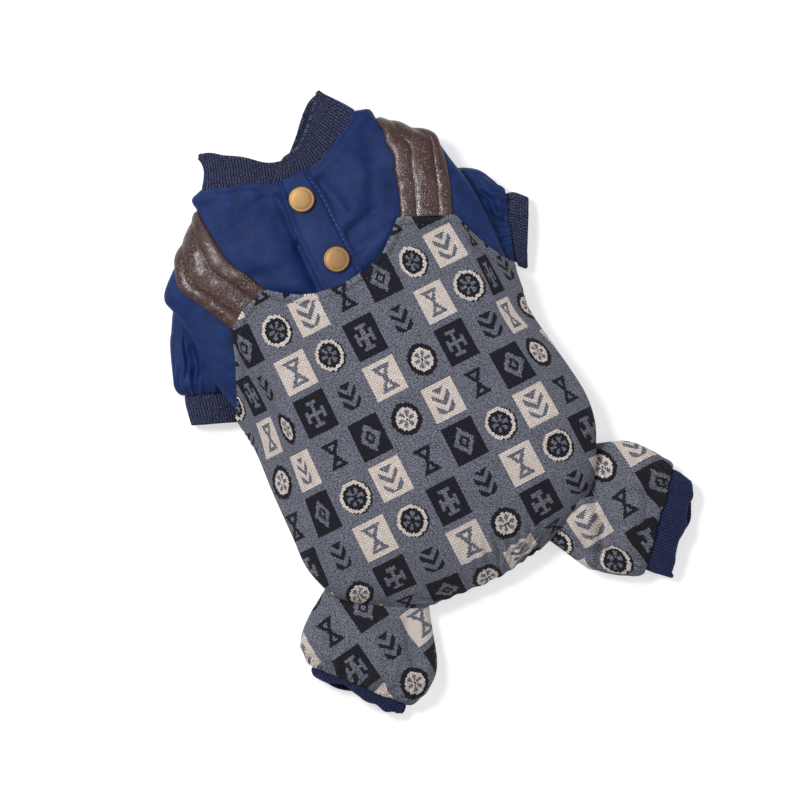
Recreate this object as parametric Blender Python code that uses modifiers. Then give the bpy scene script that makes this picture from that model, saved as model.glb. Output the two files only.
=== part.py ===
"""Pet overalls, lying on their belly with the back up.

A padded trunk of figured knit goes over a navy shirt with a rib collar, a button placket, two leather-look
straps, two sleeves and two rear legs with rib cuffs. Metres, +Z up, +Y towards the neck, +X to the wearer's right.
"""

import math
from collections import namedtuple

import bmesh
import bpy
from mathutils import Vector

# Driving sizes of the torso, which the shirt and the overalls both follow
TORSO_LENGTH = 0.238
TORSO_WIDTH = 0.160
TORSO_HEIGHT = 0.031

# Walls and clearances
OVERALLS_WALL = 0.0022
SHIRT_WALL = 0.0016
COLLAR_WALL = 0.0024
CUFF_WALL = 0.0022
SLEEVE_WALL = 0.0016
LEG_WALL = 0.0022
STRAP_WALL = 0.0012
PLACKET_WALL = 0.0011
LAP_GAP = 0.0008
SEAM_GAP = 0.0005
COLLAR_SEAM_GAP = 0.0009
STRAP_END_GAP = 0.0018
STRAP_REST_GAP = 0.0009
REST_GAP = 0.0004
CUFF_GAP = 0.0004

# How far the shirt runs on under the bib, and how far it is pressed in there
BIB_LAP = 0.012
BIB_PRESS = 0.0010

# Limbs and their cuffs
SLEEVE_LENGTH = 0.052
SLEEVE_WIDTH = 0.050
SLEEVE_HEIGHT = 0.021
LEG_LENGTH = 0.062
LEG_WIDTH = 0.074
LEG_HEIGHT = 0.026

# Neck
COLLAR_RISE = 0.018

# Straps, placket and snap caps
STRAP_CHANNEL_RELIEF = 0.0006
PLACKET_WIDTH = 0.020
SNAP_CAP_DIAMETER = 0.0134
SNAP_CAP_HEIGHT = 0.0022

# Exponents of the pillow section: a full top, and an underside that draws in towards the floor
TOP_FULLNESS = 2.4
UNDER_FULLNESS = 1.8
UNDER_DEPTH = 1.3

# Mesh density
TORSO_COLUMNS = 46
OVERALLS_ROWS = 12
SHIRT_ROWS = 9
SLEEVE_COLUMNS = 20
LEG_COLUMNS = 26


def rows_of(columns, *values):
    """A short table: every row's values under the columns' names."""
    row = namedtuple("Row", columns)
    return [row(*value) for value in values]


# Torso sections from the tail hem to the neck. Shares: along of the length, left and right of the half width,
# top and level (the height of the widest point) of the height.
TORSO = rows_of(
    "along left right top level",
    (0.000, 0.390, 0.260, 0.30, 0.16),
    (0.013, 0.463, 0.340, 0.42, 0.22),
    (0.021, 0.520, 0.410, 0.48, 0.25),
    (0.034, 0.600, 0.525, 0.55, 0.28),
    (0.055, 0.690, 0.690, 0.66, 0.34),
    (0.088, 0.825, 0.810, 0.78, 0.42),
    (0.113, 0.900, 0.865, 0.84, 0.46),
    (0.139, 0.940, 0.905, 0.89, 0.50),
    (0.193, 0.979, 0.979, 0.96, 0.52),
    (0.256, 0.969, 1.004, 1.00, 0.52),
    (0.361, 0.954, 0.969, 1.00, 0.52),
    (0.466, 0.931, 0.931, 0.98, 0.52),
    (0.550, 0.955, 0.970, 0.97, 0.54),
    (0.634, 1.000, 0.990, 0.97, 0.58),
    (0.718, 0.998, 0.995, 0.98, 0.60),
    (0.760, 1.005, 0.985, 0.97, 0.60),
    (0.800, 1.030, 0.963, 0.97, 0.60),
    (0.823, 1.045, 0.950, 0.96, 0.58),
    (0.845, 1.010, 0.940, 0.95, 0.57),
    (0.878, 0.895, 0.920, 0.93, 0.55),
    (0.908, 0.780, 0.815, 0.91, 0.53),
    (0.937, 0.675, 0.738, 0.89, 0.51),
    (0.958, 0.612, 0.662, 0.87, 0.50),
    (0.983, 0.603, 0.641, 0.84, 0.50),
    (0.995, 0.588, 0.622, 0.83, 0.50),
    (1.000, 0.513, 0.556, 0.82, 0.50),
)

# The bib's edge on the back, from the left side over both ears to the right side. Across is a share of the half width.
BIB_EDGE = rows_of(
    "across along",
    (-1.020, 0.520),
    (-0.950, 0.534),
    (-0.913, 0.559),
    (-0.850, 0.609),
    (-0.794, 0.651),
    (-0.744, 0.702),
    (-0.625, 0.731),
    (-0.450, 0.746),
    (-0.375, 0.725),
    (-0.288, 0.706),
    (-0.188, 0.691),
    (0.000, 0.683),
    (0.188, 0.689),
    (0.319, 0.706),
    (0.425, 0.735),
    (0.490, 0.755),
    (0.575, 0.742),
    (0.700, 0.719),
    (0.806, 0.708),
    (0.844, 0.664),
    (0.875, 0.635),
    (0.913, 0.605),
    (0.975, 0.563),
    (1.020, 0.530),
)
BIB_EARS = (-0.744, -0.450, 0.490, 0.806)
BELLY_EDGE = 0.560

# How far along the neck seam lies at a turn, in degrees, round the section from the throat by the right and the back
NECK = rows_of(
    "turn along",
    (-90, 0.891),
    (-68, 0.940),
    (-49, 0.971),
    (-34, 0.990),
    (-15, 0.999),
    (0, 1.000),
    (15, 0.999),
    (33, 0.993),
    (42, 0.981),
    (60, 0.960),
    (74, 0.945),
    (82, 0.936),
    (90, 0.935),
    (97, 0.940),
    (110, 0.964),
    (124, 0.977),
    (139, 0.991),
    (160, 0.998),
    (180, 1.000),
    (195, 0.999),
    (214, 0.990),
    (229, 0.971),
    (248, 0.940),
    (270, 0.891),
)

# The tail hem, as shares of the length
HEM_BELLY = 0.075
HEM_SIDE = 0.015
HEM_GATHERS = 22
HEM_GATHER_DEPTH = 0.0009

# Straight dents in the torso's back. Shares of the half width and the length; depth and breadth share the height.
DENTS = rows_of(
    "across along across_end along_end depth breadth",
    (-0.150, 0.93, -0.160, 0.70, 0.060, 0.12),
    (0.160, 0.86, 0.185, 0.75, 0.040, 0.13),
    (0.560, 0.90, 0.600, 0.80, 0.040, 0.14),
    (-0.300, 0.83, -0.520, 0.89, -0.030, 0.25),
    (-0.200, 0.74, -0.420, 0.80, -0.030, 0.25),
    (0.330, 0.78, 0.420, 0.90, -0.030, 0.25),
)

# Collar, round the neck from its right end over the placket, by the right side and the throat, to its left end. The
# turn is in degrees. Aside, rise and upward are the free edge's reach from the seam, and swell is how far the middle of
# the band stands out, all as shares of the collar's rise.
COLLAR = rows_of(
    "turn aside rise upward swell",
    (-270, 0.16, 0.50, 0.00, 0.00),
    (-255, 0.22, 0.64, -0.02, 0.00),
    (-240, 0.27, 0.83, -0.06, 0.00),
    (-220, 0.42, 1.00, -0.12, 0.00),
    (-200, 0.44, 0.98, -0.10, -0.08),
    (-180, 0.38, 0.80, 0.00, -0.14),
    (-160, 0.38, 0.86, 0.08, -0.08),
    (-140, 0.30, 0.90, 0.10, 0.00),
    (-120, 0.22, 0.90, 0.10, 0.00),
    (-90, 0.00, 0.92, 0.08, 0.00),
    (-60, -0.44, 1.00, 0.10, 0.00),
    (-40, -0.74, 1.09, 0.10, 0.00),
    (-20, -0.80, 1.06, 0.08, 0.00),
    (0, -0.66, 0.86, 0.00, 0.04),
    (20, -0.76, 1.06, -0.10, 0.02),
    (40, -0.64, 1.05, -0.14, 0.00),
    (60, -0.40, 0.88, -0.08, 0.00),
    (75, -0.18, 0.72, -0.02, 0.00),
    (90, 0.22, 0.60, 0.00, 0.00),
    (98, 0.52, 0.46, 0.00, 0.00),
)
COLLAR_RIGHT_END, COLLAR_LEFT_END = math.radians(98), math.radians(-270)

# Straps, edge to edge, from the bib's ear over the shoulder and under it: along the length, and round the section
STRAP_LEFT = rows_of(
    "step inner_along inner_turn outer_along outer_turn",
    (0.00, 0.746, 112.3, 0.702, 133.9),
    (0.15, 0.777, 114.6, 0.735, 138.5),
    (0.30, 0.811, 117.0, 0.772, 143.0),
    (0.45, 0.849, 121.8, 0.812, 147.0),
    (0.58, 0.887, 130.2, 0.842, 153.0),
    (0.70, 0.921, 142.7, 0.866, 161.5),
    (0.80, 0.950, 161.0, 0.884, 175.0),
    (0.88, 0.961, 180.0, 0.890, 192.0),
    (1.00, 0.948, 212.0, 0.880, 222.0),
)
STRAP_RIGHT = rows_of(
    "step inner_along inner_turn outer_along outer_turn",
    (0.00, 0.756, 63.2, 0.710, 39.9),
    (0.15, 0.788, 59.6, 0.742, 35.0),
    (0.30, 0.820, 56.0, 0.777, 28.2),
    (0.45, 0.854, 53.0, 0.812, 20.0),
    (0.58, 0.888, 47.3, 0.843, 12.8),
    (0.70, 0.922, 36.5, 0.868, 7.0),
    (0.80, 0.949, 22.0, 0.885, -2.0),
    (0.88, 0.963, 4.0, 0.891, -13.0),
    (1.00, 0.950, -30.0, 0.882, -41.0),
)

# Limbs from their root inside the torso to the cuff seam at 1, and on to the cuff's end at 2. Aside and ahead are the
# way from the root as shares of the limb's length, the heading is in degrees from +X, half is a share of the limb's
# width, and height and floor are shares of its height.
SLEEVE_LEFT_ROOT = (-0.663, 0.777)
SLEEVE_LEFT = rows_of(
    "along aside ahead heading half height floor",
    (0.00, 0.000, 0.000, 195, 0.34, 0.60, 0.26),
    (0.30, -0.250, -0.077, 215, 0.36, 0.74, 0.20),
    (0.55, -0.404, -0.269, 238, 0.33, 0.88, 0.10),
    (0.80, -0.519, -0.510, 246, 0.33, 0.92, 0.03),
    (0.93, -0.573, -0.654, 249, 0.32, 0.84, 0.02),
    (1.00, -0.606, -0.735, 249, 0.26, 0.68, 0.02),
    (1.50, -0.642, -0.885, 248, 0.25, 0.64, 0.02),
    (2.00, -0.679, -1.038, 248, 0.242, 0.60, 0.02),
)
SLEEVE_RIGHT_ROOT = (0.625, 0.744)
SLEEVE_RIGHT = rows_of(
    "along aside ahead heading half height floor",
    (0.00, 0.000, 0.000, -30, 0.34, 0.60, 0.26),
    (0.30, 0.192, -0.115, -37, 0.48, 0.74, 0.20),
    (0.55, 0.346, -0.260, -41, 0.54, 0.88, 0.10),
    (0.80, 0.519, -0.404, -34, 0.47, 0.92, 0.03),
    (0.93, 0.620, -0.470, -25, 0.42, 0.84, 0.02),
    (1.00, 0.692, -0.496, -19, 0.37, 0.70, 0.02),
    (1.50, 0.765, -0.552, -24, 0.37, 0.66, 0.02),
    (2.00, 0.828, -0.622, -29, 0.36, 0.60, 0.02),
)
LEG_LEFT_ROOT = (-0.560, 0.125)
LEG_LEFT = rows_of(
    "along aside ahead heading half height floor",
    (0.00, 0.000, 0.000, 228, 0.30, 0.46, 0.10),
    (0.25, -0.155, -0.215, 226, 0.35, 0.58, 0.06),
    (0.55, -0.376, -0.520, 223, 0.465, 0.92, 0.00),
    (0.80, -0.535, -0.680, 223, 0.460, 0.94, 0.00),
    (0.93, -0.585, -0.742, 222, 0.410, 0.80, 0.00),
    (1.00, -0.612, -0.775, 221, 0.360, 0.62, 0.00),
    (1.50, -0.645, -0.805, 220, 0.350, 0.60, 0.00),
    (2.00, -0.682, -0.835, 219, 0.345, 0.54, 0.00),
)
LEG_RIGHT_ROOT = (0.540, 0.125)
LEG_RIGHT = rows_of(
    "along aside ahead heading half height floor",
    (0.00, 0.000, 0.000, -48, 0.30, 0.46, 0.10),
    (0.25, 0.172, -0.188, -46, 0.36, 0.58, 0.06),
    (0.55, 0.382, -0.382, -45, 0.445, 0.92, 0.00),
    (0.80, 0.545, -0.545, -44, 0.440, 0.94, 0.00),
    (0.93, 0.634, -0.628, -43, 0.412, 0.80, 0.00),
    (1.00, 0.690, -0.672, -42, 0.378, 0.66, 0.00),
    (1.50, 0.765, -0.760, -42, 0.350, 0.62, 0.00),
    (2.00, 0.828, -0.845, -42, 0.332, 0.56, 0.00),
)

# Gathers where a limb meets its cuff, and lengthwise folds of the limbs: at a turn, in degrees, over a stretch
GATHER_DEPTH = 0.0009
LIMB_FOLDS = {
    "sleeve_left": rows_of("turn start end depth breadth", (70, 0.35, 0.95, 0.10, 16), (120, 0.45, 0.98, 0.06, 14)),
    "sleeve_right": rows_of("turn start end depth breadth", (110, 0.30, 0.85, 0.12, 15), (65, 0.50, 0.95, 0.07, 13)),
    "leg_left": rows_of("turn start end depth breadth", (128, 0.20, 0.70, 0.08, 14), (60, 0.20, 0.60, 0.07, 12)),
    "leg_right": rows_of("turn start end depth breadth", (42, 0.15, 1.00, 0.16, 11), (140, 0.20, 0.60, 0.07, 14)),
}

COLOURS = {
    "figured_knit": ((0.13, 0.14, 0.17, 1.0), 0.92, 0.0),
    "navy_cloth": ((0.012, 0.035, 0.13, 1.0), 0.78, 0.0),
    "rib_knit": ((0.010, 0.016, 0.050, 1.0), 0.90, 0.0),
    "brown_leather": ((0.075, 0.036, 0.027, 1.0), 0.38, 0.0),
    "brass": ((0.55, 0.36, 0.15, 1.0), 0.34, 1.0),
}


def smooth(rows, column, at):
    """The column's value at a place in the table's first column, on a cubic curve through the rows."""
    last = len(rows) - 1
    at = min(max(at, rows[0][0]), rows[last][0])
    i = max(k for k in range(last) if rows[k][0] <= at)

    def slope(k):
        low, high = rows[max(k - 1, 0)], rows[min(k + 1, last)]
        return (getattr(high, column) - getattr(low, column)) / (high[0] - low[0])

    step = rows[i + 1][0] - rows[i][0]
    t = (at - rows[i][0]) / step
    start, end = getattr(rows[i], column), getattr(rows[i + 1], column)
    return (
        start * (1 + 2 * t) * (1 - t) ** 2
        + end * t * t * (3 - 2 * t)
        + step * (slope(i) * t * (1 - t) ** 2 - slope(i + 1) * t * t * (1 - t))
    )


def straight(rows, column, at):
    """The column's value on straight lines through the rows, where the shape has corners."""
    at = min(max(at, rows[0][0]), rows[-1][0])
    i = max(k for k in range(len(rows) - 1) if rows[k][0] <= at)
    t = (at - rows[i][0]) / (rows[i + 1][0] - rows[i][0])
    return getattr(rows[i], column) * (1 - t) + getattr(rows[i + 1], column) * t


def bump(distance, breadth):
    return math.exp(-((distance / breadth) ** 2))


def pillow(turn, left, right, top, level):
    """(across, up) on a section that is full on top and flat where it rests. Turn 0 is right and 90 the top."""
    c, s = math.cos(turn), math.sin(turn)
    fullness = TOP_FULLNESS if s >= 0 else UNDER_FULLNESS
    across = math.copysign(abs(c) ** (2 / fullness), c) * (right if c >= 0 else left)
    lift = abs(s) ** (2 / fullness)
    up = level + (top - level) * lift if s >= 0 else max(0.0, level - UNDER_DEPTH * level * lift)
    return across, up


def surface_normal(point, along, turn):
    """Outward normal of a surface given as a function of a share along it and a turn round it."""
    step_along, step_turn = 0.004, math.radians(1.5)
    down_it = point(along + step_along, turn) - point(along - step_along, turn)
    round_it = point(along, turn + step_turn) - point(along, turn - step_turn)
    return down_it.cross(round_it).normalized()


def dent_depth(across, along):
    """How far the torso's back sinks at a place, from the table of dents."""
    sunk = 0.0
    place = Vector((across * TORSO_WIDTH / 2, along * TORSO_LENGTH))
    for dent in DENTS:
        start = Vector((dent.across * TORSO_WIDTH / 2, dent.along * TORSO_LENGTH))
        run = Vector((dent.across_end * TORSO_WIDTH / 2, dent.along_end * TORSO_LENGTH)) - start
        t = min(max((place - start).dot(run) / run.length_squared, 0.0), 1.0)
        away = (place - start - run * t).length
        sunk += dent.depth * TORSO_HEIGHT * bump(away, dent.breadth * TORSO_HEIGHT * 2)
    return sunk


def torso_floor():
    """Height of the torso's underside: the overalls' wall and the lap's gap lie below it."""
    return OVERALLS_WALL + LAP_GAP


def torso_form(along, turn):
    half = TORSO_WIDTH / 2
    left, right, top, level = (smooth(TORSO, column, along) for column in ("left", "right", "top", "level"))
    across, up = pillow(turn, left * half, right * half, top * TORSO_HEIGHT, level * TORSO_HEIGHT)
    if math.sin(turn) > 0:
        up -= dent_depth(across / half, along) * math.sin(turn)
    return Vector((across, along * TORSO_LENGTH, torso_floor() + up))


def torso_point(along, turn, out=0.0):
    """A point of the torso, or of the form that lies out metres outside it. Its underside stays flat."""
    point = torso_form(along, turn) + surface_normal(torso_form, along, turn) * out
    point.z = max(point.z, torso_floor() - out)
    return point


def even_turns(count):
    """Turns that divide a middle section evenly, with a column at each corner of the bib."""
    middle = 0.5
    fine = [math.radians(0.5 * k) for k in range(721)]
    points = [torso_form(middle, turn) for turn in fine]
    lengths = [0.0]
    for a, b in zip(points, points[1:]):
        lengths.append(lengths[-1] + (b - a).length)
    turns = []
    for k in range(count):
        reach = lengths[-1] * k / count
        i = max(n for n in range(720) if lengths[n] <= reach)
        turns.append(fine[i] + (fine[1] - fine[0]) * (reach - lengths[i]) / (lengths[i + 1] - lengths[i]))
    for ear in BIB_EARS:
        along = straight(BIB_EDGE, "along", ear)
        share = abs(ear) / smooth(TORSO, "left" if ear < 0 else "right", along)
        corner = math.acos(share ** (TOP_FULLNESS / 2))
        corner = math.pi - corner if ear < 0 else corner
        nearest = min(range(count), key=lambda n: abs(turns[n] - corner))
        turns[nearest] = corner
    return turns


def bib_edge(turn):
    """How far along the overalls reach at a turn."""
    if math.sin(turn) < 0:
        side = BIB_EDGE[-1] if math.cos(turn) > 0 else BIB_EDGE[0]
        under = min(1.0, -math.sin(turn) / 0.5)
        return side.along + (BELLY_EDGE - side.along) * under * under * (3 - 2 * under)
    along = BELLY_EDGE
    for _ in range(12):
        across = torso_form(along, turn).x / (TORSO_WIDTH / 2)
        along = (along + straight(BIB_EDGE, "along", across)) / 2
    return along


def hem_edge(turn):
    """How far along the tail hem lies at a turn."""
    if math.sin(turn) >= 0:
        return HEM_SIDE * abs(math.cos(turn)) ** 1.5
    under = -math.sin(turn)
    return HEM_SIDE + (HEM_BELLY - HEM_SIDE) * under * under * (3 - 2 * under)


def neck_edge(turn):
    """How far along the neck seam lies at a turn."""
    degrees = (math.degrees(turn) + 90) % 360 - 90
    return smooth(NECK, "along", degrees)


def hem_gather(along, turn):
    """Outward ripple of the elastic hem, fading up the back."""
    up_side = max(0.0, math.sin(turn))
    return HEM_GATHER_DEPTH * up_side * math.cos(HEM_GATHERS * turn) * bump(along, 0.05)


def overalls_ring(share, out, turns):
    """One ring of the overalls between the tail hem at share 0 and the bib's edge at share 1."""
    ring = []
    for turn in turns:
        low, high = hem_edge(turn), bib_edge(turn)
        along = low + (high - low) * share ** 1.35
        ring.append(torso_point(along, turn, out + hem_gather(along, turn)))
    return ring


def shirt_ring(share, out, turns):
    """One ring of the shirt between its edge under the bib and the neck seam."""
    ring = []
    for turn in turns:
        low = bib_edge(turn) - BIB_LAP / TORSO_LENGTH
        high = neck_edge(turn)
        pressed = BIB_PRESS * max(0.0, 1 - share * 8)
        ring.append(torso_point(low + (high - low) * (1 - (1 - share) ** 1.6), turn, out - pressed))
    return ring


def limb_centre(root, rows, length, along):
    """Middle of a limb, on its floor."""
    x = root[0] * TORSO_WIDTH / 2 + smooth(rows, "aside", along) * length
    y = root[1] * TORSO_LENGTH + smooth(rows, "ahead", along) * length
    return Vector((x, y, 0.0))


Limb = namedtuple("Limb", "name root rows length width height wall columns gathers")


def limb_floor(limb, along):
    return max(0.0, smooth(limb.rows, "floor", along)) * limb.height


def limb_form(limb, along, turn):
    """A point of the limb's outer surface. Past share 1 it is the cuff."""
    centre = limb_centre(limb.root, limb.rows, limb.length, along)
    heading = math.radians(smooth(limb.rows, "heading", along))
    side = Vector((math.sin(heading), -math.cos(heading), 0))
    half = smooth(limb.rows, "half", along) * limb.width
    height = smooth(limb.rows, "height", along) * limb.height
    across, up = pillow(turn, half, half, height, height * 0.48)
    sink = 0.0
    if along <= 1:
        for fold in LIMB_FOLDS[limb.name]:
            middle, reach = (fold.start + fold.end) / 2, (fold.end - fold.start) / 2
            away = math.degrees(turn) - fold.turn
            sink += fold.depth * limb.height * bump(away, fold.breadth) * bump(along - middle, reach)
        sink -= GATHER_DEPTH * math.cos(limb.gathers * turn) * bump(along - 0.93, 0.06)
    up = max(0.0, up - sink * max(0.0, math.sin(turn)))
    return centre + side * across + Vector((0, 0, limb_floor(limb, along) + up))


def limb_point(limb, along, turn, out=0.0):
    def form(a, t):
        return limb_form(limb, a, t)

    point = form(along, turn) + surface_normal(form, along, turn) * out
    point.z = max(point.z, limb_floor(limb, along) - out)
    return point


def turns_round(count):
    return [2 * math.pi * k / count for k in range(count)]


def limb_rings(limb, start, end, steps, out):
    return [
        [limb_point(limb, start + (end - start) * k / steps, turn, out) for turn in turns_round(limb.columns)]
        for k in range(steps + 1)
    ]


SLEEVE_SIZES = (SLEEVE_LENGTH, SLEEVE_WIDTH, SLEEVE_HEIGHT, SLEEVE_WALL, SLEEVE_COLUMNS, 6)
LEG_SIZES = (LEG_LENGTH, LEG_WIDTH, LEG_HEIGHT, LEG_WALL, LEG_COLUMNS, 8)
LIMBS = (
    Limb("sleeve_left", SLEEVE_LEFT_ROOT, SLEEVE_LEFT, *SLEEVE_SIZES),
    Limb("sleeve_right", SLEEVE_RIGHT_ROOT, SLEEVE_RIGHT, *SLEEVE_SIZES),
    Limb("leg_left", LEG_LEFT_ROOT, LEG_LEFT, *LEG_SIZES),
    Limb("leg_right", LEG_RIGHT_ROOT, LEG_RIGHT, *LEG_SIZES),
)


def material(name):
    found = bpy.data.materials.get(name)
    if found:
        return found
    colour, roughness, metallic = COLOURS[name]
    made = bpy.data.materials.new(name)
    made.use_nodes = True
    shader = made.node_tree.nodes["Principled BSDF"]
    shader.inputs["Base Color"].default_value = colour
    shader.inputs["Roughness"].default_value = roughness
    shader.inputs["Metallic"].default_value = metallic
    made.diffuse_color = colour
    return made


def loft(name, rings, finish, folder, ring_closed=True, capped=False):
    """An object through rings of points, all of one count, with faces pointing out."""
    bm = bmesh.new()
    lines = [[bm.verts.new(point) for point in ring] for ring in rings]
    count = len(rings[0])
    for lower, upper in zip(lines, lines[1:]):
        for k in range(count if ring_closed else count - 1):
            following = (k + 1) % count
            bm.faces.new((lower[k], upper[k], upper[following], lower[following]))
    if capped:
        for line, turned in ((lines[0], False), (lines[-1], True)):
            middle = bm.verts.new(sum((v.co for v in line), Vector()) / count)
            for k in range(count):
                a, b = line[k], line[(k + 1) % count]
                bm.faces.new((middle, b, a) if turned else (middle, a, b))
    bmesh.ops.recalc_face_normals(bm, faces=bm.faces) if capped else None
    mesh = bpy.data.meshes.new(name)
    bm.to_mesh(mesh)
    bm.free()
    mesh.shade_smooth()
    obj = bpy.data.objects.new(name, mesh)
    folder.objects.link(obj)
    if finish:
        mesh.materials.append(material(finish))
    return obj


def walled(obj, thickness, outward=False):
    """Gives an open surface its wall."""
    wall = obj.modifiers.new("wall", "SOLIDIFY")
    wall.thickness = thickness
    wall.offset = 1 if outward else -1
    wall.use_even_offset = True
    return obj


def cut(obj, *cutters):
    for cutter in cutters:
        trim = obj.modifiers.new("cut_by_" + cutter.name, "BOOLEAN")
        trim.operation = "DIFFERENCE"
        trim.solver = "EXACT"
        trim.object = cutter
    return obj


def as_cutter(obj):
    obj.hide_render = True
    obj.display_type = "WIRE"
    return obj


def make_torso_cutters(folder, turns):
    """Closed forms a seam gap larger than the overalls and the shirt, which trim the limbs."""
    lap = OVERALLS_WALL + LAP_GAP
    rows = [k / OVERALLS_ROWS for k in range(OVERALLS_ROWS + 1)]
    overalls = [overalls_ring(share, lap + SEAM_GAP, turns) for share in rows]
    rows = [k / SHIRT_ROWS for k in range(SHIRT_ROWS + 1)]
    shirt = [shirt_ring(share, SEAM_GAP, turns) for share in rows]
    return (
        as_cutter(loft("cutter_overalls", overalls, None, folder, capped=True)),
        as_cutter(loft("cutter_shirt", shirt, None, folder, capped=True)),
    )


def make_limbs(folder, cutters, trims):
    """Sleeves and legs with their cuffs, and the hollow of each, which opens the torso where the limb joins it."""
    hollows = {}
    for limb in LIMBS:
        sleeve = limb.name.startswith("sleeve")
        finish = "navy_cloth" if sleeve else "figured_knit"
        steps = 8
        outer = limb_rings(limb, 0.0, 1.0, steps, 0.0)
        tube = walled(loft(limb.name, outer, finish, folder), limb.wall)
        cut(tube, *trims)
        inner = limb_rings(limb, 0.02, 0.98, steps, -limb.wall)
        hollows[limb.name] = as_cutter(loft("hollow_" + limb.name, inner, None, cutters, capped=True))
        ends = [limb_centre(limb.root, limb.rows, limb.length, along) for along in (1, 2)]
        start = 1 + CUFF_GAP / (ends[1] - ends[0]).length
        band = limb_rings(limb, start, 2.0, 2, 0.0)
        kind, side = limb.name.split("_")
        walled(loft(f"{kind}_cuff_{side}", band, "rib_knit", folder), CUFF_WALL)
    return hollows


def make_overalls(folder, turns, hollows):
    lap = OVERALLS_WALL + LAP_GAP
    rings = [overalls_ring(k / OVERALLS_ROWS, lap, turns) for k in range(OVERALLS_ROWS + 1)]
    trunk = walled(loft("overalls", rings, "figured_knit", folder), OVERALLS_WALL)
    return cut(trunk, hollows["leg_left"], hollows["leg_right"])


def make_shirt(folder, turns, hollows):
    rings = [shirt_ring(k / SHIRT_ROWS, 0.0, turns) for k in range(SHIRT_ROWS + 1)]
    shirt = walled(loft("shirt", rings, "navy_cloth", folder), SHIRT_WALL)
    return cut(shirt, hollows["sleeve_left"], hollows["sleeve_right"])


def collar_seam(turn):
    """Where the collar's outer face starts: a gap ahead of the shirt's neck edge, in line with its surface."""
    step = math.radians(1)
    seam = torso_point(neck_edge(turn), turn)
    run = torso_point(neck_edge(turn + step), turn + step) - torso_point(neck_edge(turn - step), turn - step)
    ahead = surface_normal(torso_form, neck_edge(turn), turn).cross(run).normalized()
    if ahead.y < 0:
        ahead = -ahead
    return seam + ahead * COLLAR_SEAM_GAP


def collar_point(turn, share):
    """A point of the collar's outer face: round the neck by a turn, and up the band by a share."""
    degrees = math.degrees(turn)
    aside, rise, upward, swell = (smooth(COLLAR, column, degrees) * COLLAR_RISE for column in COLLAR[0]._fields[1:])
    lap = (COLLAR_WALL + REST_GAP) / 2
    lift = lap * bump(degrees - 98, 24) - lap * bump(degrees + 270, 24)
    lift *= min(1.0, share * 2.5)
    outward = swell * math.sin(math.pi * share) * math.copysign(1, math.cos(turn))
    return collar_seam(turn) + Vector((aside * share + outward, rise * share, upward * share + lift))


def make_collar(folder, columns=40, rows=4):
    """An open rib band round the neck. Its right end lies over its left end at the placket."""
    rings = []
    for n in range(rows + 1):
        span = COLLAR_LEFT_END - COLLAR_RIGHT_END
        rings.append([collar_point(COLLAR_RIGHT_END + span * k / columns, n / rows) for k in range(columns + 1)])
    band = loft("collar", rings, "rib_knit", folder, ring_closed=False)
    band.data.flip_normals()
    return walled(band, COLLAR_WALL)


def make_strap(folder, name, rows, steps=18, columns=7):
    """A strap on the shirt: three padded channels between two lines of stitching."""
    lower, upper = [], []
    for k in range(steps + 1):
        step = k / steps
        inner = (smooth(rows, "inner_along", step), smooth(rows, "inner_turn", step))
        outer = (smooth(rows, "outer_along", step), smooth(rows, "outer_turn", step))
        low_line, high_line = [], []
        for n in range(columns + 1):
            w = n / columns
            along = inner[0] * (1 - w) + outer[0] * w
            turn = math.radians(inner[1] * (1 - w) + outer[1] * w)
            along = max(along, bib_edge(turn) + STRAP_END_GAP / TORSO_LENGTH)
            channel = abs(math.sin(3 * math.pi * w)) ** 0.5
            low_line.append(torso_point(along, turn, STRAP_REST_GAP))
            thick = STRAP_WALL + STRAP_CHANNEL_RELIEF * channel
            high_line.append(torso_point(along, turn, STRAP_REST_GAP + thick))
        lower.append(low_line)
        upper.append(high_line)
    rings = [low + high[::-1] for low, high in zip(lower, upper)]
    strap = loft(name, rings, "brown_leather", folder, capped=True)
    return strap


def make_placket(folder, columns=5, rows=8):
    """The button strip on the shirt's back, from the bib to the neck seam."""
    middle = PLACKET_WIDTH * 0.075
    lines = []
    for k in range(rows + 1):
        line = []
        for n in range(columns + 1):
            x = middle + PLACKET_WIDTH * (n / columns - 0.5)
            across = x / (TORSO_WIDTH / 2)
            turn = turn_at(across, 0.8)
            low = bib_edge(turn) + (LAP_GAP + OVERALLS_WALL * 0.2) / TORSO_LENGTH
            high = neck_edge(turn) - SEAM_GAP / TORSO_LENGTH
            line.append(torso_point(low + (high - low) * k / rows, turn, REST_GAP))
        lines.append(line[::-1])
    strip = loft("placket", lines, "navy_cloth", folder, ring_closed=False)
    return walled(strip, PLACKET_WALL, outward=True)


def turn_at(across, along):
    """The turn on the back at which the torso is this far across, as a share of its half width."""
    reach = smooth(TORSO, "left" if across < 0 else "right", along)
    turn = math.acos((abs(across) / reach) ** (TOP_FULLNESS / 2))
    return math.pi - turn if across < 0 else turn


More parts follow.
